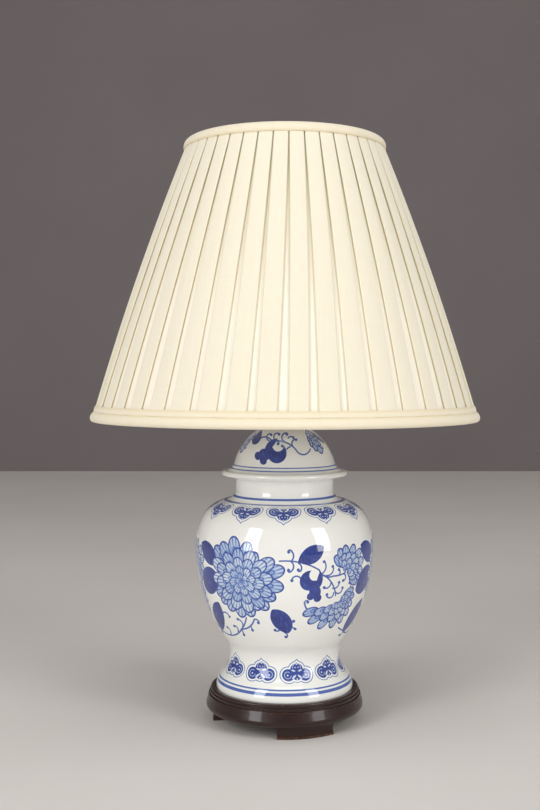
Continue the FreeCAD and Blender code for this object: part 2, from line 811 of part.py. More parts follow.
shell_outer = size("socket_shell_radius")
shell_inner = keep("shell_inner", shell_outer - size("socket_shell_wall"))
play = size("socket_part_clearance")
liner_outer = keep("liner_outer", shell_inner - play)
liner_inner = keep("liner_inner", liner_outer - size("liner_thickness"))
block_radius = keep("block_radius", liner_inner - play)
screw_inner = keep("screw_inner", size("bulb_thread_radius") + size("screw_shell_clearance"))
screw_outer = keep("screw_outer", screw_inner + size("screw_shell_wall"))
screw_top = keep("screw_top", block_top + size("screw_shell_length"))


def socket_cap():
    """The brass cap that screws on the rod, with a hole in its hub for the set screw."""
    hub, hub_height = sizes("socket_hub_radius", "socket_hub_height")
    wall = size("socket_cap_wall")
    skirt_in = keep("skirt_in", shell_outer + play)
    skirt_out = keep("skirt_out", skirt_in + wall)
    turn = keep("cap_turn_level", cap_skirt - size("socket_cap_overlap") - wall)
    body = turned("socket_cap_turning", [
        (rod_radius, socket_bottom),
        (hub, socket_bottom),
        (hub, socket_bottom + hub_height),
        (skirt_out, turn),
        (skirt_out, cap_skirt),
        (skirt_in, cap_skirt),
        (skirt_in, turn + wall / 2),
        (hub - wall, socket_bottom + hub_height + wall),
        (rod_radius, socket_bottom + hub_height + wall),
    ])
    radius = size("set_screw_radius")
    hole_level = socket_bottom + hub_height / 2
    hole = cylinder("set_screw_hole", radius, hub + wall, 0, hub + wall, hole_level, TO_FRONT)
    return cut("socket_cap", body, hole)


def set_screw():
    """The small screw through the cap's hub that stops the socket turning on the rod."""
    radius, length = sizes("set_screw_radius", "set_screw_length")
    slot = radius / 2
    body = turned("set_screw_turning", [
        (0, 0),
        (radius, 0),
        (radius, length),
        (radius - slot / 3, length + slot / 3),
        (0, length + slot / 3),
    ])
    put(body, 0, rod_radius, socket_bottom + size("socket_hub_height") / 2, TO_BACK)
    blade = box("set_screw_slot", 4 * radius, slot, slot, -2 * radius, rod_radius + length - slot / 2,
                socket_bottom + size("socket_hub_height") / 2 - slot / 2)
    return cut("cap_set_screw", body, blade)


def socket_shell():
    """The brass shell with a beaded mouth and a hole for the switch shaft."""
    bead = size("socket_mouth_bead")
    body = turned("socket_shell_turning", [
        (shell_inner, shell_bottom),
        (shell_outer, shell_bottom),
        (shell_outer, shell_top - 2 * bead),
        (shell_outer, shell_top, 1.1 * bead, LEFT),
        (shell_inner, shell_top),
    ])
    opening = size("switch_shaft_radius") + size("switch_hole_clearance")
    hole = cylinder("switch_hole", opening, shell_outer * 2, 0, 0, switch_level, TO_FRONT)
    return cut("socket_shell", body, hole)


def socket_liner():
    """The cardboard sleeve that insulates the shell, cut for the switch shaft."""
    sleeve_top = shell_top - size("liner_thickness")
    sleeve = tube("socket_liner_sleeve", liner_inner, liner_outer, shell_bottom, sleeve_top)
    opening = size("switch_shaft_radius") + size("switch_hole_clearance")
    hole = cylinder("liner_hole", opening, shell_outer * 2, 0, 0, switch_level, TO_FRONT)
    return cut("socket_liner", sleeve, hole)


def socket_interior():
    """The moulded block: flats at both sides for the terminals, and a bore for the switch shaft."""
    block = cylinder("block_round", block_radius, size("block_height"), 0, 0, block_bottom)
    depth = size("block_flat_depth")
    wide = 2 * block_radius
    tools = []
    for name, start in (("flat_right", block_radius - depth), ("flat_left", -block_radius - depth)):
        flat_height = size("block_flat_height") + depth
        tools.append(box(name, 2 * depth, wide, flat_height, start, -block_radius, block_bottom - depth))
    bore = size("switch_shaft_radius") + size("switch_shaft_clearance")
    inner_end = -size("switch_shaft_depth")
    tools.append(cylinder("shaft_bore", bore, block_radius, 0, inner_end, switch_level, TO_FRONT))
    for name, side in (("terminal_hole_right", 1), ("terminal_hole_left", -1)):
        shank, length = sizes("terminal_shank_radius", "terminal_shank_length")
        reach = block_radius - depth - length
        start = reach if side > 0 else -reach - length
        tools.append(cylinder(name, shank, length, start, 0, terminal_level, TO_RIGHT))
    return cut("socket_interior", block, fuse("block_tools", tools))


def terminal_screws():
    """The two screws that would hold the cord's conductors, one solid each."""
    depth = size("block_flat_depth")
    pieces = []
    for name, side in (("right", 1), ("left", -1)):
        screw = turned(f"terminal_{name}", [
            (0, 0),
            (size("terminal_shank_radius"), 0),
            (size("terminal_shank_radius"), size("terminal_shank_length")),
            (size("terminal_head_radius"), size("terminal_shank_length")),
            (size("terminal_head_radius"), size("terminal_shank_length") + size("terminal_head_height")),
            (0, size("terminal_shank_length") + size("terminal_head_height")),
        ])
        start = side * (block_radius - depth - size("terminal_shank_length"))
        pieces.append(put(screw, start, 0, terminal_level, Rotation(Vector(0, 1, 0), 90 * side)))
    return fuse("terminal_screws", pieces)


def contact_parts():
    """The threaded shell that takes the bulb's base, and the contact under its tip."""
    shell = tube("screw_shell", screw_inner, screw_outer, block_top, screw_top)
    radius, thick = sizes("contact_radius", "contact_thickness")
    contact = turned("centre_contact", [
        (0, block_top),
        (radius, block_top),
        (radius, block_top + thick),
        (0, block_top + 2 * thick),
    ])
    return [shell, contact]


def switch_parts():
    """The switch's shaft and the fluted knob on its end, pointing forwards from the shell."""
    shaft, depth, stand = sizes("switch_shaft_radius", "switch_shaft_depth", "knob_standoff")
    radius, neck, length = sizes("knob_radius", "knob_neck_radius", "knob_length")
    knob_start = keep("knob_start", shell_outer + stand)
    shaft_length = keep("shaft_length", knob_start - depth + length / 2)
    rod = cylinder("switch_shaft", shaft, shaft_length, 0, -depth, switch_level, TO_FRONT)
    rod.Label = "switch_shaft"
    waist = length / 3
    knob = turned("knob_turning", [
        (shaft, 0),
        (neck, 0),
        (neck, waist),
        (radius, length - radius / 2, radius * 2, LEFT),
        (radius - neck / 3, length, radius, LEFT),
        (0, length),
        (0, length / 2),
        (shaft, length / 2),
    ])
    put(knob, 0, -knob_start, switch_level, TO_FRONT)
    flutes = []
    for side in range(4):
        turn = math.radians(45 + 90 * side)
        flute = size("knob_flute_radius")
        flutes.append(cylinder(
            f"knob_flute_{side}", flute, length,
            (radius + flute / 4) * math.cos(turn), -knob_start - waist,
            switch_level + (radius + flute / 4) * math.sin(turn), TO_FRONT,
        ))
    return [rod, cut("switch_knob", knob, fuse("knob_flutes", flutes))]


bulb_bottom = keep("bulb_bottom", block_top + 2 * size("contact_thickness") + size("bulb_contact_gap"))
bulb_rim = keep("bulb_rim", bulb_bottom + size("bulb_base_height"))


def bulb_base_parts():
    """The bulb's tip, its black insulator and its metal base with a rolled thread."""
    tip, tip_height = sizes("bulb_contact_radius", "bulb_contact_height")
    insulator, thread = sizes("bulb_insulator_height", "bulb_thread_radius")
    wall, groove = sizes("bulb_base_wall", "bulb_thread_depth")
    tip_top = keep("bulb_tip_top", bulb_bottom + tip_height)
    insulator_top = keep("bulb_insulator_top", tip_top + insulator)
    contact = turned("bulb_contact", [
        (0, bulb_bottom),
        (tip, tip_top - tip_height / 4, 1.5 * tip, LEFT),
        (tip, tip_top),
        (0, tip_top),
    ])
    insulator_piece = turned("bulb_insulator", [
        (0, tip_top),
        (tip + wall, tip_top),
        (thread - 2 * groove - wall, insulator_top),
        (0, insulator_top),
    ])
    pitch = size("bulb_thread_pitch")
    root_radius = thread - groove
    thread_start = keep("bulb_thread_start", insulator_top + wall)
    outline = [(thread - 2 * groove - wall, insulator_top), (root_radius, thread_start)]
    for ridge in range(int(size("bulb_thread_turns").value)):
        low = thread_start + pitch * ridge
        outline.append((thread, low + pitch / 4))
        outline.append((thread, low + pitch / 2))
        outline.append((root_radius, low + pitch * 3 / 4))
    outline += [
        (root_radius, bulb_rim),
        (root_radius - wall, bulb_rim),
        (root_radius - wall, thread_start + wall),
        (thread - 2 * groove - 2 * wall, insulator_top + wall / 2),
        (thread - 2 * groove - 2 * wall, insulator_top),
    ]
    return [contact, insulator_piece, turned("bulb_base", outline)]


def bulb_glass():
    """The pear-shaped envelope: a sphere that runs into the neck through a hollow arc."""
    neck, radius, wall = sizes("bulb_neck_radius", "bulb_glass_radius", "bulb_glass_wall")
    top = keep("bulb_top", bulb_bottom + size("bulb_height"))
    centre = keep("bulb_centre", top - radius)
    neck_end = keep("bulb_neck_end", bulb_rim + size("bulb_base_wall"))
    across, up = radius - neck, centre - neck_end
    total = keep("bulb_arc_sum", (across * across + up * up) / (2 * across))
    hollow = keep("bulb_hollow_arc", total - radius)
    gap = size("bulb_glass_gap")
    thread, groove = sizes("bulb_thread_radius", "bulb_thread_depth")
    seat = keep("bulb_seat", thread - groove - size("bulb_base_wall") - gap)
    sphere, cove = (as_size(0), centre, radius), (neck + hollow, neck_end, hollow)
    out_x, out_z = meeting_point(sphere, cove, as_size(0))
    in_x, in_z = meeting_point(sphere, cove, wall)
    bottom = bulb_rim - 3 * wall
    return turned("bulb_glass", [
        (seat - wall, bottom),
        (seat, bottom),
        (seat, bulb_rim),
        (neck, neck_end),
        (keep("bulb_out_x", out_x), keep("bulb_out_z", out_z), hollow, RIGHT),
        (radius, centre, radius, LEFT),
        (0, top, radius, LEFT),
        (0, top - wall),
        (radius - wall, centre, radius - wall, RIGHT),
        (keep("bulb_in_x", in_x), keep("bulb_in_z", in_z), radius - wall, RIGHT),
        (neck - wall, neck_end, hollow + wall, LEFT),
        (seat - wall, bulb_rim),
    ])


def bulb_inside():
    """The glass stem, its two lead wires and the coil between them."""
    stem, tip, length = sizes("bulb_stem_radius", "bulb_stem_tip", "bulb_stem_length")
    bottom = keep("bulb_stem_bottom", bulb_rim - 12)
    top = keep("bulb_stem_top", bottom + length)
    stem_piece = turned("stem_turning", [
        (0, bottom),
        (stem * 1.6, bottom),
        (stem, bottom + length / 3),
        (tip, top - tip),
        (tip, top),
        (0, top),
    ])
    lead, spread, rise = sizes("bulb_lead_radius", "bulb_lead_spread", "bulb_lead_length")
    body = new_body("lead_wire")
    path = sketch_on(body, "lead_path")
    draw(path, [
        (-spread, top + rise),
        (-tip + 2 * lead, top),
        (tip - 2 * lead, top),
        (spread, top + rise),
    ], closed=False)
    section = sketch_on(body, "lead_section", "YZ_Plane")
    circle = section.addGeometry(Part.Circle(Vector(0, top.value, 0), Vector(0, 0, 1), lead.value))
    pin_point(section, circle, 3, (0, top))
    row = section.addConstraint(Sketcher.Constraint("Radius", circle, lead.value))
    section.setExpression(f"Constraints[{row}]", lead.formula)
    pipe = body.newObject("PartDesign::AdditivePipe", "lead_pipe")
    pipe.Profile = section
    pipe.Spine = (path, ["Edge1", "Edge2", "Edge3"])
    pipe.Transition = "Right corner"
    coil = cylinder(
        "filament_coil", size("bulb_coil_radius"), 2 * spread, -spread, 0, top + rise, TO_RIGHT
    )
    filament = fuse("bulb_filament", [body, coil])
    return [cut("bulb_stem", stem_piece, filament), filament]


def harp_bow():
    """The wire loop round the bulb: straight legs, a swell at half height and a flat crown with an eye."""
    half, angle = sizes("harp_half_width", "harp_top_angle")
    corner, flat = sizes("harp_corner_radius", "harp_flat_half")
    side = keep("harp_side_arc", (half - flat - corner * cosine(angle)) / (1 - cosine(angle)))
    wide = keep("harp_wide_level", harp_top - side * sine(angle) - corner * (1 - sine(angle)))
    leg_end = keep("harp_leg_end", harp_bottom + size("harp_leg_length"))
    across, up = half - leg_x, wide - leg_end
    total = keep("harp_bend_sum", (across * across + up * up) / (2 * across))
    share = size("harp_bend_share")
    low, high = total * share, total * (1 - share)
    bend_x = keep("harp_bend_x", leg_x + across * share)
    bend_z = keep("harp_bend_z", leg_end + up * share)
    turn_x = keep("harp_turn_x", half - side * (1 - cosine(angle)))
    turn_z = keep("harp_turn_z", wide + side * sine(angle))
    start = keep("harp_start", harp_bottom + size("harp_leg_gap"))
    right = [
        (leg_x, start),
        (leg_x, leg_end),
        (bend_x, bend_z, low, RIGHT),
        (half, wide, high, LEFT),
        (turn_x, turn_z, side, LEFT),
        (flat, harp_top, corner, LEFT),
    ]
    left = [
        (-flat, harp_top),
        (-turn_x, turn_z, corner, LEFT),
        (-half, wide, side, LEFT),
        (-bend_x, bend_z, high, LEFT),
        (-leg_x, leg_end, low, RIGHT),
        (-leg_x, start),
    ]
    body = new_body("harp_wire")
    path = sketch_on(body, "harp_path")
    draw(path, right + left, closed=False)
    section = sketch_on(body, "harp_section", "XY_Plane")
    circle = section.addGeometry(Part.Circle(Vector(leg_x.value, 0, 0), Vector(0, 0, 1), wire.value))
    pin_point(section, circle, 3, (leg_x, 0))
    row = section.addConstraint(Sketcher.Constraint("Radius", circle, wire.value))
    section.setExpression(f"Constraints[{row}]", wire.formula)
    section.setExpression(".AttachmentOffset.Base.z", start.formula)
    pipe = body.newObject("PartDesign::AdditivePipe", "harp_pipe")
    pipe.Profile = section
    pipe.Spine = (path, [f"Edge{n + 1}" for n in range(len(right + left) - 1)])
    eye_thick = size("harp_eye_thickness")
    eye = cylinder("harp_eye", size("harp_eye_radius"), eye_thick, 0, 0, harp_top - eye_thick / 2)
    hole = cylinder("rivet_hole", size("rivet_radius"), 2 * eye_thick, 0, 0, harp_top - eye_thick)
    return cut("harp_bow", fuse("harp_with_eye", [body, eye]), hole)


def harp_sleeves():
    """The two sliding tubes that lock the harp's legs on the saddle's ears."""
    bore = wire + size("sleeve_clearance")
    outer = bore + size("sleeve_wall")
    length = size("sleeve_length")
    bottom = socket_bottom + size("saddle_rise") + size("sleeve_lift")
    lip = size("sleeve_wall") / 3
    pieces = []
    for name, side in (("right", 1), ("left", -1)):
        body = turned(f"harp_sleeve_{name}", [
            (bore, 0),
            (outer + lip, 0),
            (outer + lip, 2 * lip),
            (outer, 4 * lip),
            (outer, length - 4 * lip),
            (outer + lip, length - 2 * lip),
            (outer + lip, length),
            (bore, length),
        ])
        pieces.append(put(body, side * leg_x, 0, bottom))
    return pieces


def harp_stud():
    """The riveted disc and threaded stud that carry the shade and its finial."""
    stud, disc, rivet, head = sizes("stud_radius", "stud_disc_radius", "rivet_radius", "rivet_head_radius")
    eye_half = size("harp_eye_thickness") / 2
    under = harp_top - eye_half
    bevel = stud / 5
    top = keep("stud_top", disc_top + size("stud_length"))
    return turned("harp_stud", [
        (0, under - size("rivet_head_height")),
        (head, under - size("rivet_head_height")),
        (head, under),
        (rivet, under),
        (rivet, harp_crown),
        (disc, harp_crown),
        (disc, disc_top),
        (stud, disc_top),
        (stud, top - bevel),
        (stud - bevel, top),
        (0, top),
    ])


# The shade's face is one arc in section: straight from edge to edge but for a slight swell.
shade_low, shade_high = sizes("shade_bottom_level", "shade_top_level")
shade_wide, shade_narrow = sizes("shade_bottom_radius", "shade_top_radius")
shade_flare, shade_rise = shade_wide - shade_narrow, shade_high - shade_low
shade_chord = keep("shade_chord", root(shade_flare * shade_flare + shade_rise * shade_rise))
shade_bow = size("shade_bow")
shade_arc = keep("shade_arc", (shade_chord * shade_chord / 4 + shade_bow * shade_bow) / (2 * shade_bow))
shade_depth = shade_arc - shade_bow
shade_centre_x = keep(
    "shade_centre_x",
    (shade_wide + shade_narrow) / 2 - shade_depth * (shade_high - shade_low) / shade_chord,
)
shade_centre_z = keep(
    "shade_centre_z",
    (shade_low + shade_high) / 2 - shade_depth * (shade_wide - shade_narrow) / shade_chord,
)


def face_radius(level, inset):
    """The radius of the shade's side at this level, on the surface set in by inset."""
    arc = shade_arc - inset
    up = level - shade_centre_z
    return shade_centre_x + root(arc * arc - up * up)


cover_inset = keep("cover_inset", size("pleat_depth") + size("pleat_fabric"))
backing_outer = keep("backing_outer", cover_inset + size("backing_gap"))
backing_inner = keep("backing_inner", backing_outer + size("backing_thickness"))
edge_low = keep("edge_low", shade_low + size("shade_edge_inset"))
edge_high = keep("edge_high", shade_high - size("shade_edge_inset"))

# The bowed side is made of straight courses, whose levels the cover and its backing share.
COURSES = int(size("shade_courses").value)
LEVELS = [edge_low + (edge_high - edge_low) * (step / COURSES) for step in range(COURSES + 1)]


def shade_backing():
    """The smooth stiff sheet behind the fabric."""
    outside, inside = [], []
    for step, level in enumerate(LEVELS):
        outside.append((keep(f"backing_out_{step}", face_radius(level, backing_outer)), level))
        inside.append((keep(f"backing_in_{step}", face_radius(level, backing_inner)), level))
    return turned("shade_backing", outside + inside[::-1])


def pleat_ring(level):
    """One closed ring of the pleated face: raised panels with straight gaps between them."""
    count = int(size("pleat_count").value)
    radius = face_radius(level, as_size(0)).value
    share = (level.value - shade_low.value) / (shade_high.value - shade_low.value)
    gap = size("pleat_gap_bottom").value * (1 - share) + size("pleat_gap_top").value * share
    fold = size("pleat_fold_share").value * gap
    low_radius = radius - size("pleat_depth").value
    half_gap = math.degrees(gap / 2 / radius)
    half_floor = math.degrees((gap / 2 - fold) / low_radius)
    phase = size("pleat_azimuth").value + size("pleat_lean").value * share - 90
    points = []
    for pleat in range(count):
        middle = phase + 360.0 / count * pleat
        left = ((-half_gap, radius), (-half_floor, low_radius))
        right = ((half_floor, low_radius), (half_gap, radius))
        for turn, reach in left + right:
            angle = math.radians(middle + turn)
            points.append(Vector(reach * math.cos(angle), reach * math.sin(angle), level.value))
    return Part.makePolygon(points + points[:1])


def pleated_cover():
    """The pleated fabric: a ruled skin through rings of folds, hollowed down to the backing's face."""
    outside = Part.makeLoft([pleat_ring(level) for level in LEVELS], True, True)
    corners = [Vector(face_radius(level, cover_inset).value, 0, level.value) for level in LEVELS]
    corners += [Vector(0, 0, corners[-1].z), Vector(0, 0, corners[0].z), corners[0]]
    core = Part.Face(Part.makePolygon(corners)).revolve(Vector(), Vector(0, 0, 1), 360)
    thing = doc.addObject("Part::Feature", "pleated_cover_skin")
    thing.Label = "pleated_cover"
    thing.Shape = outside.cut(core)
    thing.Placement = FreeCAD.Placement()
    return thing


def top_trim():
    """The padded roll over the shade's upper edge, outside and inside."""
    outside, inside, gap, back_gap = sizes("trim_outside", "trim_inside", "trim_gap", "trim_back_gap")
    low = keep("top_trim_low", shade_high - size("top_trim_height"))
    inner_low = keep("top_trim_inner_low", shade_high - size("top_trim_inner_height"))
    above = keep("top_trim_above", edge_high + gap)
    face_low = keep("top_trim_face_low", face_radius(low, -gap))
    face_top = keep("top_trim_face_top", face_radius(edge_high, -gap))
    back_low = keep("top_trim_back_low", face_radius(inner_low, backing_inner + back_gap))
    back_top = keep("top_trim_back_top", face_radius(edge_high, backing_inner + back_gap))
    out = keep("top_trim_out", face_radius(low + size("top_trim_height") / 2, -outside))
    out_level = keep("top_trim_out_level", low + size("top_trim_height") / 2)
    crown = keep("top_trim_crown", (face_top + back_top) / 2)
    return turned("top_trim", [
        (face_low, low),
        (out, out_level, size("top_trim_height") / 1.6, LEFT),
        (crown, shade_high, size("top_trim_height") / 1.2, LEFT),
        (back_top - inside, edge_high, size("top_trim_height") / 1.2, LEFT),
        (back_low - inside / 2, inner_low),
        (back_low, inner_low),
        (back_top, above),
        (face_top, above),
    ])


def hem_parts():
    """The flat band and the padded roll round the shade's lower edge."""
    outside, inside, gap, back_gap = sizes("trim_outside", "trim_inside", "trim_gap", "trim_back_gap")
    height = size("hem_roll_height")
    high = keep("hem_roll_high", shade_low + height)
    inner_high = keep("hem_roll_inner_high", shade_low + size("hem_roll_inner_height"))
    below = keep("hem_below", edge_low - gap)
    face_high = keep("hem_face_high", face_radius(high, -gap))
    face_bottom = keep("hem_face_bottom", face_radius(edge_low, -gap))
    back_high = keep("hem_back_high", face_radius(inner_high, backing_inner + back_gap))
    back_bottom = keep("hem_back_bottom", face_radius(edge_low, backing_inner + back_gap))
    out_level = keep("hem_out_level", shade_low + height / 1.6)
    out = keep("hem_out", face_radius(out_level, -outside))
    keel = keep("hem_keel", (face_bottom + back_bottom) / 2)
    roll = turned("hem_roll", [
        (keel, shade_low),
        (out, out_level, height / 1.4, LEFT),
        (face_high, high, height / 1.6, LEFT),
        (face_bottom, below),
        (back_bottom, below),
        (back_high, inner_high),
        (back_high - inside, inner_high),
        (back_bottom - inside, edge_low),
    ])
    band_low = keep("hem_band_low", high + gap)
    band_high = keep("hem_band_high", band_low + size("hem_band_height"))
    thick = size("hem_band_thickness") + gap
    band = turned("hem_band", [
        (keep("hem_band_in_low", face_radius(band_low, -gap)), band_low),
        (keep("hem_band_out_low", face_radius(band_low, -thick)), band_low),
        (keep("hem_band_out_high", face_radius(band_high, -thick)), band_high),
        (keep("hem_band_in_high", face_radius(band_high, -gap)), band_high),
    ])
    return [roll, band]


def wire_ring(label, level):
    """A wire ring inside the backing, at this level."""
    wire_radius = size("ring_wire_radius")
    thing = doc.addObject("Part::Torus", label + "_torus")
    thing.Label = label
    inner_face = face_radius(level, backing_inner + size("ring_gap"))
    radius = keep(f"{label}_radius", inner_face - wire_radius * 1.12)
    thing.setExpression("Radius1", radius.formula)
    thing.setExpression("Radius2", wire_radius.formula)
    return put(thing, 0, 0, level), radius


def shade_frame():
    """Two wire rings, the washer that sits on the stud, and the arms that join it to the upper ring."""
    wire_radius = size("ring_wire_radius")
    trim_low = shade_high - size("top_trim_inner_height")
    top_level = keep("top_ring_level", trim_low - wire_radius - size("trim_gap"))
    roll_top = shade_low + size("hem_roll_inner_height")
    low_level = keep("low_ring_level", roll_top + wire_radius + size("trim_gap"))
    top_ring, top_radius = wire_ring("top_ring", top_level)
    low_ring = wire_ring("bottom_ring", low_level)[0]
    washer_radius = size("spider_washer_radius")
    bore = size("stud_radius") + size("spider_bore_clearance")
    washer = tube("spider_washer", bore, washer_radius, spider_bottom, spider_top)
    arm = size("spider_arm_radius")
    start_x, start_z = washer_radius - 2 * arm, spider_top + arm
    across, up = top_radius - start_x, top_level - start_z
    length = keep("spider_arm_length", root(across * across + up * up))
    tilt = math.degrees(math.atan2(across.value, up.value))
    arms = []
    count = int(size("spider_arm_count").value)
    for index in range(count):
        turn = Rotation(Vector(0, 0, 1), 30 + 360.0 / count * index)
        thing = doc.addObject("Part::Cylinder", f"arm_{index}")
        thing.setExpression("Radius", arm.formula)
        thing.setExpression("Height", length.formula)
        foot = turn.multVec(Vector(start_x.value, 0, start_z.value))
        thing.Placement = FreeCAD.Placement(foot, turn.multiply(Rotation(Vector(0, 1, 0), tilt)))
        arms.append(thing)
    spider = cut("spider_arms", fuse("arms_long", arms), top_ring)
    return [top_ring, low_ring, washer, spider]


def finial_parts():
    """The finial's threaded base and the knob above it."""
    bore = size("stud_radius") + size("finial_bore_clearance")
    radius, height, neck = sizes("finial_base_radius", "finial_base_height", "finial_neck_radius")
    ball, ball_level = sizes("finial_ball_radius", "finial_ball_level")
    tip_height, tip = sizes("finial_tip_height", "finial_tip_radius")
    low = finial_bottom
    split = keep("finial_split", low + height)
    base = turned("finial_base", [
        (bore, low),
        (radius, low),
        (radius, low + height / 4),
        (radius - height / 8, low + height * 3 / 8),
        (neck, low + height * 3 / 4, height, RIGHT),
        (neck, split),
        (bore, split),
    ])
    knob_low = split + size("finial_gap")
    centre = low + ball_level
    ball_foot = keep("finial_ball_foot", centre - root(ball * ball - neck * neck))
    tip_level = low + tip_height
    rise = ball * 0.8
    knob = turned("finial_knob", [
        (bore, knob_low),
        (neck, knob_low),
        (neck, ball_foot),
        (ball, centre, ball, LEFT),
        (ball * 0.6, centre + rise, ball, LEFT),
        (tip, tip_level - 2 * tip, ball * 1.4, RIGHT),
        (tip, tip_level - tip),
        (0, tip_level, tip, LEFT),
        (0, disc_top + size("stud_length") + 1),
        (bore, disc_top + size("stud_length") + 1),
    ])
    return [base, knob]


def build():
    """Every sub-part, in the order in which the lamp goes together."""
    pieces = [wood_stand(), cord_bushing()]
    pieces += rod_pieces()
    pieces += [jar_body(), jar_lid()]
    pieces += brass_above_lid()
    pieces += [harp_saddle(), socket_cap(), set_screw(), socket_shell(), socket_liner()]
    pieces += [socket_interior(), terminal_screws()]
    pieces += contact_parts()
    pieces += switch_parts()
    pieces += bulb_base_parts()
    pieces += [bulb_glass()]
    pieces += bulb_inside()
    pieces += [harp_bow()]
    pieces += harp_sleeves()
    pieces += [harp_stud()]
    pieces += [shade_backing(), pleated_cover(), top_trim()]
    pieces += hem_parts()
    pieces += shade_frame()
    pieces += finial_parts()
    doc.recompute()
    return pieces


def check(pieces):
    """Stops on any object that failed, and on any sub-part that is not a sound solid."""
    for thing in doc.Objects:
        if "Invalid" in thing.State or "Error" in thing.State:
            raise RuntimeError(f"{thing.Name} failed: {thing.State}")
    for piece in pieces:
        shape = piece.Shape
        if shape.isNull() or not shape.isValid() or not shape.Solids:
            raise RuntimeError(f"{piece.Label} is not a sound solid")


def write(pieces):
    os.makedirs("parts", exist_ok=True)
    for piece in pieces:
        piece.Shape.exportStep(os.path.join("parts", piece.Label + ".step"))


PIECES = build()
check(PIECES)
write(PIECES)
for one in PIECES:
    limits = one.Shape.BoundBox
    print(f"{one.Label:20s} {len(one.Shape.Solids)} solids  volume {one.Shape.Volume:10.1f}"
          f"  z {limits.ZMin:7.2f} to {limits.ZMax:7.2f}  x to {limits.XMax:7.2f}")
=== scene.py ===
import json
import math
import random

import bpy
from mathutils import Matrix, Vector

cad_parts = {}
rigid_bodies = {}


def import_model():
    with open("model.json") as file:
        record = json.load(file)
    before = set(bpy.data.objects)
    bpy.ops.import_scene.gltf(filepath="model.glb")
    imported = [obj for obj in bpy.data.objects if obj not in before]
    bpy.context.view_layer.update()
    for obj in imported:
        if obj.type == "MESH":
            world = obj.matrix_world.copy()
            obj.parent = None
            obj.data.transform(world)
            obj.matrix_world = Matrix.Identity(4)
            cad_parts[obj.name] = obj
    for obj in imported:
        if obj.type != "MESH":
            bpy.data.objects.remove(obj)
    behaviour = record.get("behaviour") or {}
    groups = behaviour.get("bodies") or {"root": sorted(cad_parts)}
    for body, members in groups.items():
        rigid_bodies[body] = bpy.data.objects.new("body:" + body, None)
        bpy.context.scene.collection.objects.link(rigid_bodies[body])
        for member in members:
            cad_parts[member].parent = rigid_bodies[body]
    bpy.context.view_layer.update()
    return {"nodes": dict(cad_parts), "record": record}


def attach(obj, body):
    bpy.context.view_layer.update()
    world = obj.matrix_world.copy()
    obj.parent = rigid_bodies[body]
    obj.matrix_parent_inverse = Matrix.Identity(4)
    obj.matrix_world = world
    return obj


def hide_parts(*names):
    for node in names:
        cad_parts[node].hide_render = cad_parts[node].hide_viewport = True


for leftover in list(bpy.data.objects):
    bpy.data.objects.remove(leftover)

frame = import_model()

MM = 0.001
TURN = 2 * math.pi
TILE = math.radians(60)
SHOULDER_TILE = math.radians(15)
FOOT_TILE = math.radians(18)

BODY_OF = {
    node: body for body, nodes in frame["record"]["behaviour"]["bodies"].items() for node in nodes
}


# ---------------------------------------------------------------- camera, light and room

def photographer():
    """The camera, at the height and distance that the photograph was taken from."""
    data = bpy.data.cameras.new("camera")
    data.lens = 50.9
    data.sensor_width = 36
    camera = bpy.data.objects.new("camera", data)
    camera.location = (-0.0135, -1.0606, 0.324)
    camera.rotation_euler = (math.radians(90 - 1.75), 0, 0)
    bpy.context.collection.objects.link(camera)
    bpy.context.scene.camera = camera


def softbox(name, azimuth, distance, level, width, height, power, aim):
    """A rectangular lamp that stands at this azimuth from the camera's side and faces the aim."""
    data = bpy.data.lights.new(name, "AREA")
    data.shape = "RECTANGLE"
    data.size = width
    data.size_y = height
    data.energy = power
    lamp = bpy.data.objects.new(name, data)
    turn = math.radians(azimuth)
    lamp.location = (distance * math.sin(turn), -distance * math.cos(turn), level)
    lamp.rotation_euler = (Vector(aim) - lamp.location).to_track_quat("-Z", "Y").to_euler()
    bpy.context.collection.objects.link(lamp)


def studio():
    """Two tall softboxes in front, a wide one above, and an even pale surround."""
    softbox("softbox_left", -43, 2.0, 0.85, 0.66, 1.5, 20, (0, 0, 0.3))
    softbox("softbox_right", 49, 2.0, 0.85, 0.66, 1.5, 16.5, (0, 0, 0.3))
    softbox("softbox_above", 10, 0.9, 2.3, 1.6, 1.6, 12.5, (0, 0, 0.2))
    world = bpy.data.worlds.new("surround")
    bpy.context.scene.world = world
    world.use_nodes = True
    world.node_tree.nodes["Background"].inputs["Color"].default_value = (1.0, 0.99, 0.975, 1)
    world.node_tree.nodes["Background"].inputs["Strength"].default_value = 0.38
    bpy.context.scene.view_settings.view_transform = "Standard"


# ---------------------------------------------------------------- materials

def srgb(red, green, blue):
    """A colour as it looks on a screen, from 0 to 255, as the numbers a shader works in."""
    def straight(part):
        part = part / 255
        return part / 12.92 if part <= 0.04045 else ((part + 0.055) / 1.055) ** 2.4
    return (straight(red), straight(green), straight(blue), 1.0)


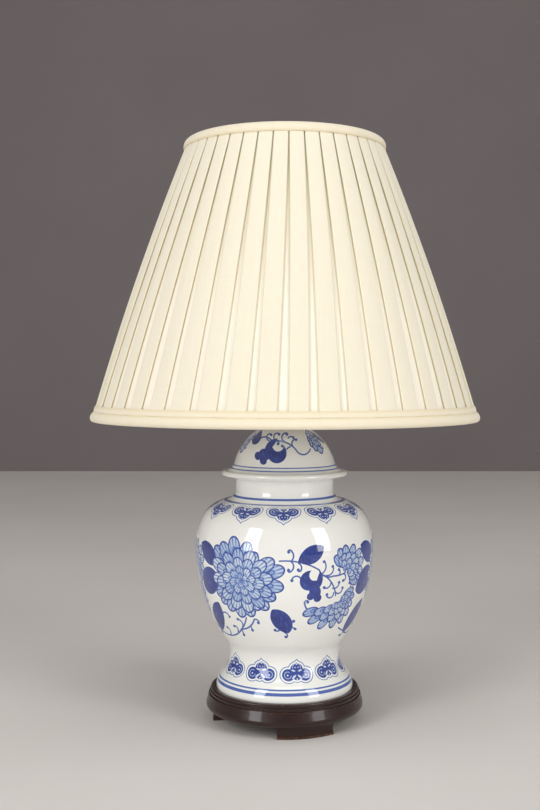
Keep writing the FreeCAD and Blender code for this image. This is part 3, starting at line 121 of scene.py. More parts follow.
class Value:
    """A number, place or colour that changes over a surface: one socket of a material."""

    def __init__(self, paint, socket):
        self.paint = paint
        self.socket = socket

    def math(self, operation, *others, clamp=False):
        settings = {"operation": operation, "use_clamp": clamp}
        return self.paint.node("ShaderNodeMath", settings, dict(enumerate((self, *others))))

    def vector(self, operation, *others, output="Vector"):
        return self.paint.node(
            "ShaderNodeVectorMath", {"operation": operation}, dict(enumerate((self, *others))), output
        )

    def __add__(self, other):
        return self.math("ADD", other)

    def __radd__(self, other):
        return self.math("ADD", other)

    def __sub__(self, other):
        return self.math("SUBTRACT", other)

    def __rsub__(self, other):
        return self.math("MULTIPLY_ADD", -1.0, other)

    def __mul__(self, other):
        return self.math("MULTIPLY", other)

    def __rmul__(self, other):
        return self.math("MULTIPLY", other)

    def __truediv__(self, other):
        return self.math("DIVIDE", other)

    def __neg__(self):
        return self.math("MULTIPLY", -1.0)

    def __abs__(self):
        return self.math("ABSOLUTE")

    def low(self, other):
        return self.math("MINIMUM", other)

    def high(self, other):
        return self.math("MAXIMUM", other)

    def scaled(self, factor, more, clamp=False):
        return self.math("MULTIPLY_ADD", factor, more, clamp=clamp)

    def inside(self, soft=0.35):
        """1 where this distance is below nought, 0 where it is above, with a soft edge."""
        return self.scaled(-1 / soft, 0.5, clamp=True)

    def line(self, width, soft=0.35):
        """1 along the places where this distance is nought, as a line of this width."""
        return abs(self).scaled(-1 / soft, width / 2 / soft + 0.5, clamp=True)

    def between(self, low, high):
        """0 at low, 1 at high and an even slope between them."""
        return self.scaled(1 / (high - low), -low / (high - low), clamp=True)

    def away_from(self, x, y):
        """How far this place is from a point of the pattern."""
        return self.vector("DISTANCE", (x, y, 0), output="Value")

    def parts(self):
        """The three numbers of a place."""
        split = self.paint.node("ShaderNodeSeparateXYZ", None, {0: self})
        outputs = split.socket.node.outputs
        return [Value(self.paint, outputs[name]) for name in ("X", "Y", "Z")]


class Paint:
    """A material whose colour, gloss and relief are worked out by its nodes."""

    def __init__(self, name, **constants):
        self.material = bpy.data.materials.new(name)
        self.material.use_nodes = True
        self.tree = self.material.node_tree
        self.surface = self.tree.nodes["Principled BSDF"]
        for word, number in constants.items():
            socket = word.replace("_", " ").title().replace("Ior", "IOR")
            self.surface.inputs[socket].default_value = number

    def node(self, kind, settings=None, inputs=None, output=0):
        made = self.tree.nodes.new(kind)
        for name, setting in (settings or {}).items():
            if name == "stops":
                ramp = made.color_ramp.elements
                while len(ramp) < len(setting):
                    ramp.new(1.0)
                for element, (place, colour) in zip(ramp, setting):
                    element.position = place
                    element.color = colour
            else:
                setattr(made, name, setting)
        for name, value in (inputs or {}).items():
            if isinstance(value, Value):
                self.tree.links.new(value.socket, made.inputs[name])
            else:
                made.inputs[name].default_value = value
        return Value(self, made.outputs[output])

    def feed(self, **sockets):
        """Links values to the surface's own sockets."""
        for word, value in sockets.items():
            self.tree.links.new(value.socket, self.surface.inputs[word.replace("_", " ").title()])

    def place(self):
        """Where a point of the piece is, in metres from the lamp's foot."""
        return self.node("ShaderNodeTexCoord", None, None, "Object")

    def attribute(self, name):
        return self.node("ShaderNodeAttribute", {"attribute_name": name}, None, "Fac")

    def pair(self, x, y, z=0.0):
        return self.node("ShaderNodeCombineXYZ", None, {"X": x, "Y": y, "Z": z})

    def noise(self, spot, scale, detail=2.0, rough=0.5):
        inputs = {"Vector": spot, "Scale": scale, "Detail": detail, "Roughness": rough}
        return self.node("ShaderNodeTexNoise", None, inputs)

    def stretched(self, spot, x, y, z):
        return spot.vector("MULTIPLY", (x, y, z))

    def ramp(self, value, *stops):
        return self.node("ShaderNodeValToRGB", {"stops": stops}, {"Fac": value})

    def blend(self, share, first, second):
        """One colour going over into another as the share goes from 0 to 1."""
        settings = {"data_type": "RGBA", "clamp_factor": True}
        return self.node("ShaderNodeMix", settings, {0: share, 6: first, 7: second}, 2)

    def choose(self, share, first, second):
        """One place of a pattern or another."""
        return self.node("ShaderNodeMix", {"data_type": "VECTOR"}, {0: share, 4: first, 5: second}, 1)

    def relief(self, height, depth, strength=1.0):
        bump = self.node(
            "ShaderNodeBump", None, {"Strength": strength, "Distance": depth, "Height": height}
        )
        self.feed(Normal=bump)

    def finish(self, *nodes):
        """Puts this material on the named parts."""
        for name in nodes:
            slots = frame["nodes"][name].data.materials
            for index in range(len(slots)):
                slots[index] = self.material
        return self.material


# ---------------------------------------------------------------- the painter's strokes, in millimetres

def circle_through(start, middle, end):
    """Centre and radius of the circle through three points."""
    (ax, ay), (bx, by), (cx, cy) = start, middle, end
    twice = 2 * (ax * (by - cy) + bx * (cy - ay) + cx * (ay - by))
    if abs(twice) < 0.5:
        twice = 0.5
    a, b, c = ax * ax + ay * ay, bx * bx + by * by, cx * cx + cy * cy
    x = (a * (by - cy) + b * (cy - ay) + c * (ay - by)) / twice
    y = (a * (cx - bx) + b * (ax - cx) + c * (bx - ax)) / twice
    return x, y, math.hypot(ax - x, ay - y)


def stroke(spot, start, middle, end):
    """Distance from a curved brush stroke through three points."""
    x, y, radius = circle_through(start, middle, end)
    angles = [math.atan2(p[1] - y, p[0] - x) for p in (start, middle, end)]
    first = (angles[0] - angles[1] + math.pi) % TURN - math.pi
    last = (angles[2] - angles[1] + math.pi) % TURN - math.pi
    half = (abs(first) + abs(last)) / 2
    facing = angles[1] + (first + last) / 2
    away = spot.away_from(x, y)
    toward = spot.vector("DOT_PRODUCT", (math.cos(facing), math.sin(facing), 0), output="Value")
    steep = 1 / math.sin(min(half, 1.5))
    passed = away.scaled(math.cos(half) * steep, steep * (x * math.cos(facing) + y * math.sin(facing)))
    past = toward.scaled(-steep, passed)
    return abs(away - radius).high(past)


def scroll_work(spot, strokes, knobs, width=1.3, knob=1.35):
    """Distance from a set of curved strokes, and from the round drops at their ends."""
    nearest = None
    for points in strokes:
        away = stroke(spot, *points)
        nearest = away if nearest is None else nearest.low(away)
    for x, y in knobs:
        nearest = nearest.low(spot.away_from(x, y) - (knob - width / 2))
    return nearest - width / 2


def leaf(spot, base, tip, left, right):
    """Distance inside or outside a leaf between two curved edges."""
    ax, ay, a = circle_through(base, left, tip)
    bx, by, b = circle_through(base, right, tip)
    return (spot.away_from(ax, ay) - a).high(spot.away_from(bx, by) - b)


def disc(spot, x, y, radius):
    return spot.away_from(x, y) - radius


def cover(blue, shade, where):
    """Lays one shade of pigment over another."""
    difference = shade - blue if isinstance(shade, Value) else blue.scaled(-1.0, shade)
    return difference.math("MULTIPLY", where) + blue


def petal(heart, away, angle, long, wide):
    """One petal as (x, y, angle, half length, half width)."""
    return heart[0] + away * math.cos(angle), heart[1] + away * math.sin(angle), angle, long, wide


def petals_round(heart, reach, count, first, long, wide):
    """Petals set out evenly round a flower's heart."""
    found = []
    for index in range(count):
        angle = math.radians(first + 360.0 * index / count)
        found.append(petal(heart, reach - long, angle, long, wide))
    return found


def petals_to(heart, tips, share, long, wide):
    """Petals that point from the heart to these tips; share pulls them in towards the heart."""
    found = []
    for tip in tips:
        x, y = tip[0] - heart[0], tip[1] - heart[1]
        reach = math.hypot(x, y) * share
        size = min(long, reach * 0.46)
        found.append(petal(heart, reach - size, math.atan2(y, x), size, wide))
    return found


def halfway(tips):
    """The points half-way between neighbouring tips."""
    return [((a[0] + b[0]) / 2, (a[1] + b[1]) / 2) for a, b in zip(tips, tips[1:])]


def flower(paint, spot, blue, petals, line_width):
    """Paints petals one over another, each with an outline, a hatched tip and a loop at its root."""
    nearest = paint.pair(3.0, 3.0)
    for index, (x, y, angle, long, wide) in enumerate(petals):
        inputs = {"Vector": spot, "Center": (x, y, 0), "Angle": -angle}
        own = paint.node("ShaderNodeVectorRotate", {"rotation_type": "Z_AXIS"}, inputs)
        shift = (-x / long, -y / wide, -(index % 7) * 0.01)
        own = own.vector("MULTIPLY_ADD", (1 / long, 1 / wide, 1), shift)
        within = own.vector("LENGTH", output="Value").math("LESS_THAN", 1.0)
        nearest = paint.choose(within, nearest, own)
    along, across, number = nearest.parts()
    edge = nearest.vector("LENGTH", output="Value")
    shade = number.scaled(2.2, 0.24)
    shade = shade + along.between(0.2, -0.8) * 0.36
    stripes = (across / along.scaled(0.45, 1.0)).math("MULTIPLY", 15.0).math("SINE").between(0.0, 0.9)
    shade = shade + stripes * along.between(-0.2, 0.35) * 0.4
    loop = (nearest.away_from(-0.3, 0.0) - 0.27).line(0.13, 0.1) * along.between(-0.62, -0.5)
    shade = shade + loop * 0.4
    outline = edge.between(1.0 - line_width * 1.35, 1.0 - line_width * 0.75)
    shade = cover(shade, 0.86, outline)
    return cover(blue, shade, edge.math("LESS_THAN", 1.0))


def curled_leaf(spot):
    """The big comma-shaped leaf with a bite out of its top and two lobes at its foot."""
    head = disc(spot, 0.0, 0.0, 8.8).high(-disc(spot, 4.6, 4.9, 5.3))
    horn = leaf(spot, (6.5, -9.5), (9.2, 8.3), (6.4, -1.5), (11.9, -1.5))
    body = leaf(spot, (1.5, -5.0), (8.0, -17.0), (1.0, -12.0), (11.0, -9.0))
    lobes = disc(spot, 2.4, -14.2, 3.5).low(disc(spot, 9.0, -16.2, 3.6))
    base = disc(spot, 4.6, -5.4, 5.2)
    return head.low(horn).low(body).low(lobes).low(base)


def ruyi(blue, spot):
    """The three-lobed cloud head of the borders: outline, white edge, and white scrolls on blue."""
    across, up, _ = spot.vector("MULTIPLY", (1.1, 1.1, 0)).parts()
    half = spot.paint.pair(abs(across), up)
    shape = disc(half, 8.6, 2.0, 7.9).low(disc(half, 0.0, -3.2, 8.2)).low(disc(half, 0.0, 3.0, 6.0))
    tip = (abs(across) * 0.74 - up * 0.672) - 8.9
    shape = shape.low(tip.high(up + 4.0))
    blue = cover(blue, 0.72, (shape - 0.2).line(0.75))
    field = (shape + 1.9).inside()
    scrolls = (disc(half, 9.0, 2.0, 3.3).line(0.55)) * (half.away_from(5.6, 0.4)).between(1.2, 2.4)
    scrolls = scrolls.high(disc(half, 9.2, 2.1, 0.85).inside())
    scrolls = scrolls.high(disc(half, 0.0, -5.4, 4.0).line(0.5) * (-up).between(3.6, 4.6))
    scrolls = scrolls.high(leaf(half, (0.6, 1.6), (5.4, 5.8), (2.3, 4.4), (3.9, 3.2)).inside())
    scrolls = scrolls.high(leaf(half, (1.2, -1.7), (5.6, -3.0), (3.2, -1.5), (3.4, -3.3)).inside())
    scrolls = scrolls.high(disc(half, 0.0, -8.5, 0.7).inside()).high(disc(half, 0.0, 5.8, 0.8).inside())
    scrolls = scrolls.high(disc(half, 1.5, -5.4, 0.6).inside())
    return cover(blue, 0.88 - scrolls * 0.78, field)


# ---------------------------------------------------------------- blue and white porcelain

HEAD_FLOWER = (0.0, -1.0)
HEAD_TIPS = [
    (-30.5, 27.0), (-22.0, 31.5), (-9.5, 37.5), (6.5, 34.0), (14.5, 25.5), (-33.5, 14.5),
    (-34.5, -2.0), (-31.0, -16.5), (-25.5, -24.0), (-17.0, -30.5), (-5.5, -35.5), (5.5, -34.0),
    (22.0, -26.0), (14.0, -27.0), (30.0, -16.0), (38.0, -5.0), (39.5, 11.5), (30.5, 19.5),
]
HEAD_STROKES = [
    ((-39.5, -53.5), (-25.0, -56.0), (-8.5, -47.0)), ((-8.5, -47.0), (-3.5, -41.0), (-0.5, -35.0)),
    ((-8.5, -47.0), (2.0, -42.5), (7.0, -36.0)), ((7.0, -36.0), (10.0, -36.0), (10.5, -39.5)),
    ((-8.5, -47.0), (-8.0, -49.5), (-7.5, -53.0)), ((-13.5, -50.0), (-13.0, -46.5), (-17.0, -45.0)),
    ((-26.5, -56.0), (-24.0, -51.0), (-27.5, -48.0)), ((2.0, -42.5), (2.5, -44.0), (3.0, -47.0)),
    ((-6.5, -44.5), (-7.0, -39.0), (-10.5, -37.5)), ((-27.5, -34.0), (-21.5, -34.0), (-19.5, -37.0)),
    ((37.5, -36.5), (40.0, -37.5), (42.5, -36.0)), ((37.5, -42.5), (40.0, -42.5), (42.0, -44.0)),
    ((32.0, -47.5), (33.5, -50.5), (31.5, -52.0)), ((28.0, -44.0), (25.5, -46.0), (23.5, -45.0)),
]
HEAD_KNOBS = [
    (10.3, -38.8), (-7.6, -52.6), (-16.5, -45.2), (-27.0, -48.2), (2.9, -46.6), (-10.2, -37.6),
    (-19.6, -36.6), (42.1, -36.2), (41.7, -43.8), (31.9, -51.7), (24.0, -45.1),
]
SPRAY_STROKES = [
    ((-48.5, 18.0), (-33.0, 17.2), (-13.5, 9.5)), ((-13.5, 9.5), (-8.5, 4.0), (1.0, 3.0)),
    ((1.0, 3.0), (8.0, 3.2), (14.5, 5.0)), ((-38.5, 18.0), (-36.5, 23.0), (-38.0, 26.5)),
    ((-38.0, 26.5), (-40.0, 27.5), (-41.0, 25.5)), ((-38.5, 17.5), (-36.5, 12.0), (-38.5, 9.0)),
    ((-38.5, 9.0), (-40.0, 8.5), (-41.0, 10.5)), ((-32.0, 16.0), (-29.5, 13.0), (-30.0, 9.5)),
    ((-30.0, 9.5), (-31.5, 9.0), (-32.5, 10.5)), ((-10.5, 6.0), (-7.0, 11.5), (-9.0, 17.0)),
    ((-6.0, 4.0), (-0.5, 6.0), (0.0, 12.0)), ((4.0, 3.0), (8.0, 5.0), (6.5, 8.5)),
    ((13.0, 3.5), (15.0, 0.0), (12.0, -2.5)), ((-8.5, 4.5), (-1.0, -2.0), (5.5, -15.0)),
    ((-1.0, -2.0), (-3.5, -7.0), (-8.0, -6.5)), ((1.5, -8.0), (6.5, -7.0), (8.0, -3.0)),
    ((3.0, -12.5), (-1.0, -16.5), (-4.0, -13.0)), ((5.0, -12.0), (11.5, -12.0), (12.5, -8.5)),
    ((20.5, -11.0), (23.0, -8.0), (20.5, -5.0)), ((-30.0, 3.0), (-35.0, 4.5), (-37.5, 0.5)),
    ((-11.0, -28.0), (-20.0, -26.0), (-23.5, -20.5)), ((-23.5, -20.5), (-23.5, -18.0), (-20.5, -19.0)),
    ((18.0, -47.5), (22.0, -49.8), (27.0, -52.0)), ((26.0, -51.5), (26.5, -56.0), (23.0, -56.0)),
]
SPRAY_KNOBS = [
    (-40.6, 25.9), (-40.6, 10.2), (-32.2, 10.3), (-8.9, 16.4), (-0.1, 11.6), (6.6, 8.2), (12.3, -2.2),
    (-7.4, -6.6), (7.8, -3.4), (-3.8, -13.2), (12.4, -8.9), (20.7, -5.4), (-37.2, 1.0), (-21.0, -18.9),
    (23.4, -55.9),
]
UPPER_HEART = (15.5, 6.0)
UPPER_TIPS = [
    (1.5, 21.0), (6.5, 27.0), (14.0, 29.5), (25.5, 29.0), (36.0, 23.5), (40.5, 14.0), (39.5, 4.0),
    (35.5, -3.0), (30.5, -8.0),
]
LOWER_HEART = (11.5, -19.0)
LOWER_TIPS = [
    (-24.0, -30.5), (-17.5, -39.0), (-6.0, -45.5), (7.5, -46.5), (18.0, -43.5), (25.5, -36.5),
    (29.0, -27.0), (30.5, -18.0), (28.0, -11.0),
]
LID_STROKES = [
    ((-10.5, 8.5), (-2.0, 8.0), (10.0, 0.5)), ((-15.0, 8.5), (-17.0, 12.5), (-12.5, 13.5)),
    ((-8.5, 9.0), (-10.0, 13.0), (-5.0, 14.0)), ((-0.5, 8.0), (-2.5, 13.0), (0.5, 15.0)),
    ((0.5, 15.0), (2.0, 14.5), (2.0, 13.5)), ((3.0, 11.0), (4.5, 12.0), (8.0, 11.0)),
    ((6.5, 4.5), (7.0, 8.5), (10.5, 9.5)), ((-7.0, 8.0), (-5.5, 7.0), (-6.5, 5.5)),
    ((1.5, 1.5), (3.5, 3.0), (4.5, 3.5)), ((10.0, 0.5), (17.0, -3.5), (24.0, 1.0)),
    ((-26.0, 9.0), (-20.0, 11.5), (-12.0, 8.5)),
]
LID_KNOBS = [
    (-12.9, 13.5), (-5.4, 14.0), (1.9, 13.9), (7.6, 11.1), (10.1, 9.4), (-6.4, 5.8), (-2.5, 4.0),
]
LID_HEART = (31.0, 13.0)
LID_TIPS = [
    (22.0, 8.0), (25.5, 2.5), (31.5, -1.5), (39.5, -3.5), (44.5, 1.5), (49.5, 8.0), (47.0, 14.0),
    (42.0, 21.0), (33.0, 23.0), (25.0, 21.5), (20.5, 15.5),
]

COBALT = (
    (0.00, srgb(243, 243, 238)),
    (0.28, srgb(160, 184, 218)),
    (0.58, srgb(98, 127, 192)),
    (0.84, srgb(50, 74, 158)),
    (1.00, srgb(29, 42, 122)),
)


def wrapped(paint, azimuth, radius, height, middle, level):
    """The pattern's own place, in mm, repeated three times round the pot."""
    turned = (azimuth - math.radians(middle)).math("WRAP", TILE, -TILE)
    return paint.pair(turned * radius, height - level)


def round_the_pot(paint):
    """Azimuth from the front, radius and height of a point of the pot, in mm."""
    x, y, z = paint.stretched(paint.place(), 1000, 1000, 1000).parts()
    azimuth = x.math("ARCTAN2", -y)
    radius = x.math("MULTIPLY", x).math("ADD", y.math("MULTIPLY", y)).math("SQRT")
    return azimuth, radius, z


def glazed(paint, blue):
    """Turns pigment into colour under a clear, faintly uneven glaze."""
    spot = paint.place()
    cloud = paint.noise(spot, 45.0, 3.0)
    blue = blue * cloud.scaled(0.28, 0.86)
    colour = paint.ramp(blue, *COBALT)
    tone = paint.noise(spot, 9.0, 1.0)
    colour = paint.blend(tone.between(0.35, 0.75) * 0.06, colour, srgb(205, 208, 196))
    paint.feed(Base_Color=colour, Roughness=paint.noise(spot, 30.0).scaled(0.05, 0.045))
    skin = paint.noise(spot, 85.0, 1.0) + paint.noise(spot, 18.0, 1.0) * 2.0
    paint.relief(skin, 0.0001, 0.35)


def jar_glaze():
    """The jar: two lines and a ruyi border at shoulder and foot, and flowers on the belly."""
    paint = Paint("painted_porcelain_jar", coat_weight=0.5, coat_roughness=0.06, specular_ior_level=0.55)
    azimuth, radius, height = round_the_pot(paint)
    spot = wrapped(paint, azimuth, radius, height, -28, 142)
    blue = scroll_work(spot, HEAD_STROKES, HEAD_KNOBS).inside() * 0.78
    leaves = leaf(spot, (-27.5, 10.5), (-54.0, 27.0), (-45.5, 12.0), (-32.0, 24.0))
    leaves = leaves.low(leaf(spot, (-29.0, 3.0), (-54.0, -14.0), (-48.0, 4.5), (-33.0, -15.0)))
    leaves = leaves.low(leaf(spot, (-31.0, -24.5), (-40.0, -54.5), (-47.5, -40.0), (-27.5, -38.0)))
    leaves = leaves.low(leaf(spot, (25.0, -25.5), (35.0, -48.0), (22.8, -37.5), (39.0, -31.5)))
    veins = paint.noise(paint.stretched(spot, 0.35, 0.12, 1.0), 1.6, 2.0).between(0.45, 0.8)
    blue = cover(blue, 0.97 - veins * 0.2, leaves.inside())
    petals = petals_to(HEAD_FLOWER, HEAD_TIPS, 1.0, 9.5, 6.4)
    petals += petals_round(HEAD_FLOWER, 29.5, 12, 8, 8.6, 6.0)
    petals += petals_round(HEAD_FLOWER, 21.5, 10, 30, 7.4, 5.4)
    petals += petals_round(HEAD_FLOWER, 13.6, 8, 12, 5.8, 4.2)
    petals += petals_round(HEAD_FLOWER, 6.6, 5, 40, 3.2, 2.5)
    blue = flower(paint, spot, blue, petals, 0.15)

    spot = wrapped(paint, azimuth, radius, height, 30, 142)
    drawn = scroll_work(spot, SPRAY_STROKES, SPRAY_KNOBS)
    blue = cover(blue, 0.78, drawn.inside())
    leaves = leaf(spot, (-32.5, 17.5), (-9.0, 30.0), (-26.0, 28.0), (-16.5, 16.5))
    curled = spot.vector("SUBTRACT", (-21.5, 0.5, 0))
    leaves = leaves.low(curled_leaf(curled))
    blue = cover(blue, 0.97 - veins * 0.2, leaves.inside())
    petals = petals_to(UPPER_HEART, UPPER_TIPS, 1.0, 7.2, 4.6)
    petals += petals_to(UPPER_HEART, halfway(UPPER_TIPS), 0.74, 6.2, 4.0)
    petals += petals_to(UPPER_HEART, UPPER_TIPS[1::2], 0.5, 5.0, 3.4)
    petals += petals_to(UPPER_HEART, UPPER_TIPS[::3], 0.27, 3.0, 2.4)
    blue = flower(paint, spot, blue, petals, 0.2)
    petals = petals_to(LOWER_HEART, LOWER_TIPS, 1.0, 7.4, 4.4)
    petals += petals_to(LOWER_HEART, halfway(LOWER_TIPS), 0.78, 6.4, 4.0)
    petals += petals_to(LOWER_HEART, LOWER_TIPS[1:-1], 0.55, 5.4, 3.4)
    petals += petals_to(LOWER_HEART, halfway(LOWER_TIPS[1:]), 0.33, 3.6, 2.6)
    blue = flower(paint, spot, blue, petals, 0.2)

    above = height.math("GREATER_THAN", 120.0)
    fold = (height - 173.28).math("ARCTAN2", radius - 48.27)
    shoulder_turn = (azimuth + math.radians(1.4)).math("WRAP", SHOULDER_TILE, -SHOULDER_TILE)
    shoulder = paint.pair(shoulder_turn * radius, fold.scaled(32.0, -32.0 * math.radians(54.2)))
    fold = (height - 62.0).math("ARCTAN2", 73.85 - radius)
    foot_turn = (azimuth - math.radians(11.4)).math("WRAP", FOOT_TILE, -FOOT_TILE)
    foot = paint.pair(foot_turn * radius, fold.scaled(-22.85, -22.85 * math.radians(18.0)))
    blue = ruyi(blue, paint.choose(above, foot, shoulder))

    high = height.math("GREATER_THAN", 190.0)
    rings = ((height - 208.5).line(1.8) + (radius - 54.8).line(3.4)) * high
    low = height.math("LESS_THAN", 60.0)
    rings = rings + ((height - 41.9).line(1.2) + (height - 38.4).line(2.6)) * low
    blue = cover(blue, 0.74, rings)
    glazed(paint, blue * (radius.math("GREATER_THAN", 44.9)))
    paint.finish("jar_body")


def lid_glaze():
    """The lid: two thin lines at the foot of the dome, and the same flowers and leaves above them."""
    paint = Paint("painted_porcelain_lid", coat_weight=0.5, coat_roughness=0.06, specular_ior_level=0.55)
    azimuth, radius, height = round_the_pot(paint)
    spot = wrapped(paint, azimuth, radius, height, 0, 252)
    blue = scroll_work(spot, LID_STROKES, LID_KNOBS, 1.2, 1.2).inside() * 0.8
    leaves = leaf(spot, (-33.5, 5.0), (-25.5, 18.0), (-39.0, 11.5), (-21.5, 10.5))
    inputs = {
        "Vector": spot,
        "Location": (-7.5, -2.0, 0),
        "Rotation": (0, 0, math.radians(-52)),
        "Scale": (-1, 1, 1),
    }
    curled = paint.node("ShaderNodeMapping", {"vector_type": "TEXTURE"}, inputs)
    leaves = leaves.low(curled_leaf(curled))
    veins = paint.noise(paint.stretched(spot, 0.35, 0.12, 1.0), 1.6, 2.0).between(0.45, 0.8)
    blue = cover(blue, 0.97 - veins * 0.2, leaves.inside())
    petals = petals_to(LID_HEART, LID_TIPS, 1.0, 6.6, 4.6)
    petals += petals_to(LID_HEART, halfway(LID_TIPS), 0.68, 5.0, 3.6)
    petals += petals_to(LID_HEART, LID_TIPS[::2], 0.36, 3.0, 2.6)
    blue = flower(paint, spot, blue, petals, 0.2)
    rings = (height - 236.8).line(0.9) + (height - 234.0).line(0.9)
    blue = cover(blue, 0.72, rings)
    glazed(paint, blue * height.math("GREATER_THAN", 232.5))
    paint.finish("jar_lid")


# ---------------------------------------------------------------- lacquered stand

def stand_lacquer():
    """Near-black brown lacquer over turned wood, rubbed through along its edges and feet, with painted
    highlight lines along the two moulding edges.
    """
    paint = Paint("dark_lacquer", coat_weight=0.4, coat_roughness=0.09, specular_ior_level=0.3)
    spot = paint.place()
    azimuth, radius, height = round_the_pot(paint)
    grain = paint.noise(paint.pair(azimuth * 3.0, radius * 0.12, height * 0.9), 3.0, 5.0, 0.65)
    colour = paint.ramp(
        grain, (0.30, srgb(24, 8, 7)), (0.52, srgb(38, 14, 11)), (0.74, srgb(56, 25, 18))
    )
    speck = paint.noise(spot, 420.0, 3.0, 0.7)
    worn_low = height.between(4.0, 0.2) * speck.between(0.42, 0.62)
    # partly rubbed lacquer, partly painted highlight: paler patchy lines along the ledge at 25.2 mm and
    # the lip edge at 30.9 mm
    rubbed_and_lit_edge = (height - 25.2).line(1.4, 0.8) * (radius - 71.0).line(2.4, 1.5)
    rubbed_and_lit_edge = rubbed_and_lit_edge + (height - 30.9).line(1.0, 0.8) * (radius - 67.9).line(1.6, 1.2)
    wear_and_highlight = (worn_low + rubbed_and_lit_edge * speck.between(0.5, 0.68)).low(1.0) * 0.6
    # lighter brown for the rubbed feet and for the painted highlight lines on the edges
    colour = paint.blend(wear_and_highlight, colour, srgb(128, 88, 58))
    dust = paint.noise(spot, 60.0, 4.0, 0.6).between(0.5, 0.85) * 0.07
    colour = paint.blend(dust, colour, srgb(96, 92, 80))
    rough = grain.scaled(0.25, 0.2) + wear_and_highlight * 0.35
    paint.feed(Base_Color=colour, Roughness=rough)
    scratches = paint.noise(paint.pair(azimuth * 2.0, radius * 1.5, height * 2.4), 4.0, 4.0, 0.6)
    paint.relief(scratches + grain * 0.6, 0.0002, 0.35)
    paint.finish("wood_stand")


# ---------------------------------------------------------------- metals, glass and moulded parts

def metal(name, light, dark, rough, brushed, nodes):
    """A metal with fine turning marks round the lamp's axis and a slightly clouded surface."""
    paint = Paint(name, metallic=1.0)
    spot = paint.place()
    cloud = paint.noise(spot, 55.0, 4.0, 0.6)
    marks = paint.noise(paint.stretched(spot, 120, 120, 5200), 1.0, 2.0)
    colour = paint.ramp(cloud, (0.32, dark), (0.68, light))
    paint.feed(Base_Color=colour, Roughness=cloud.scaled(0.22, rough) + marks * brushed)
    paint.relief(marks + cloud, 0.00005, 0.3)
    paint.finish(*nodes)


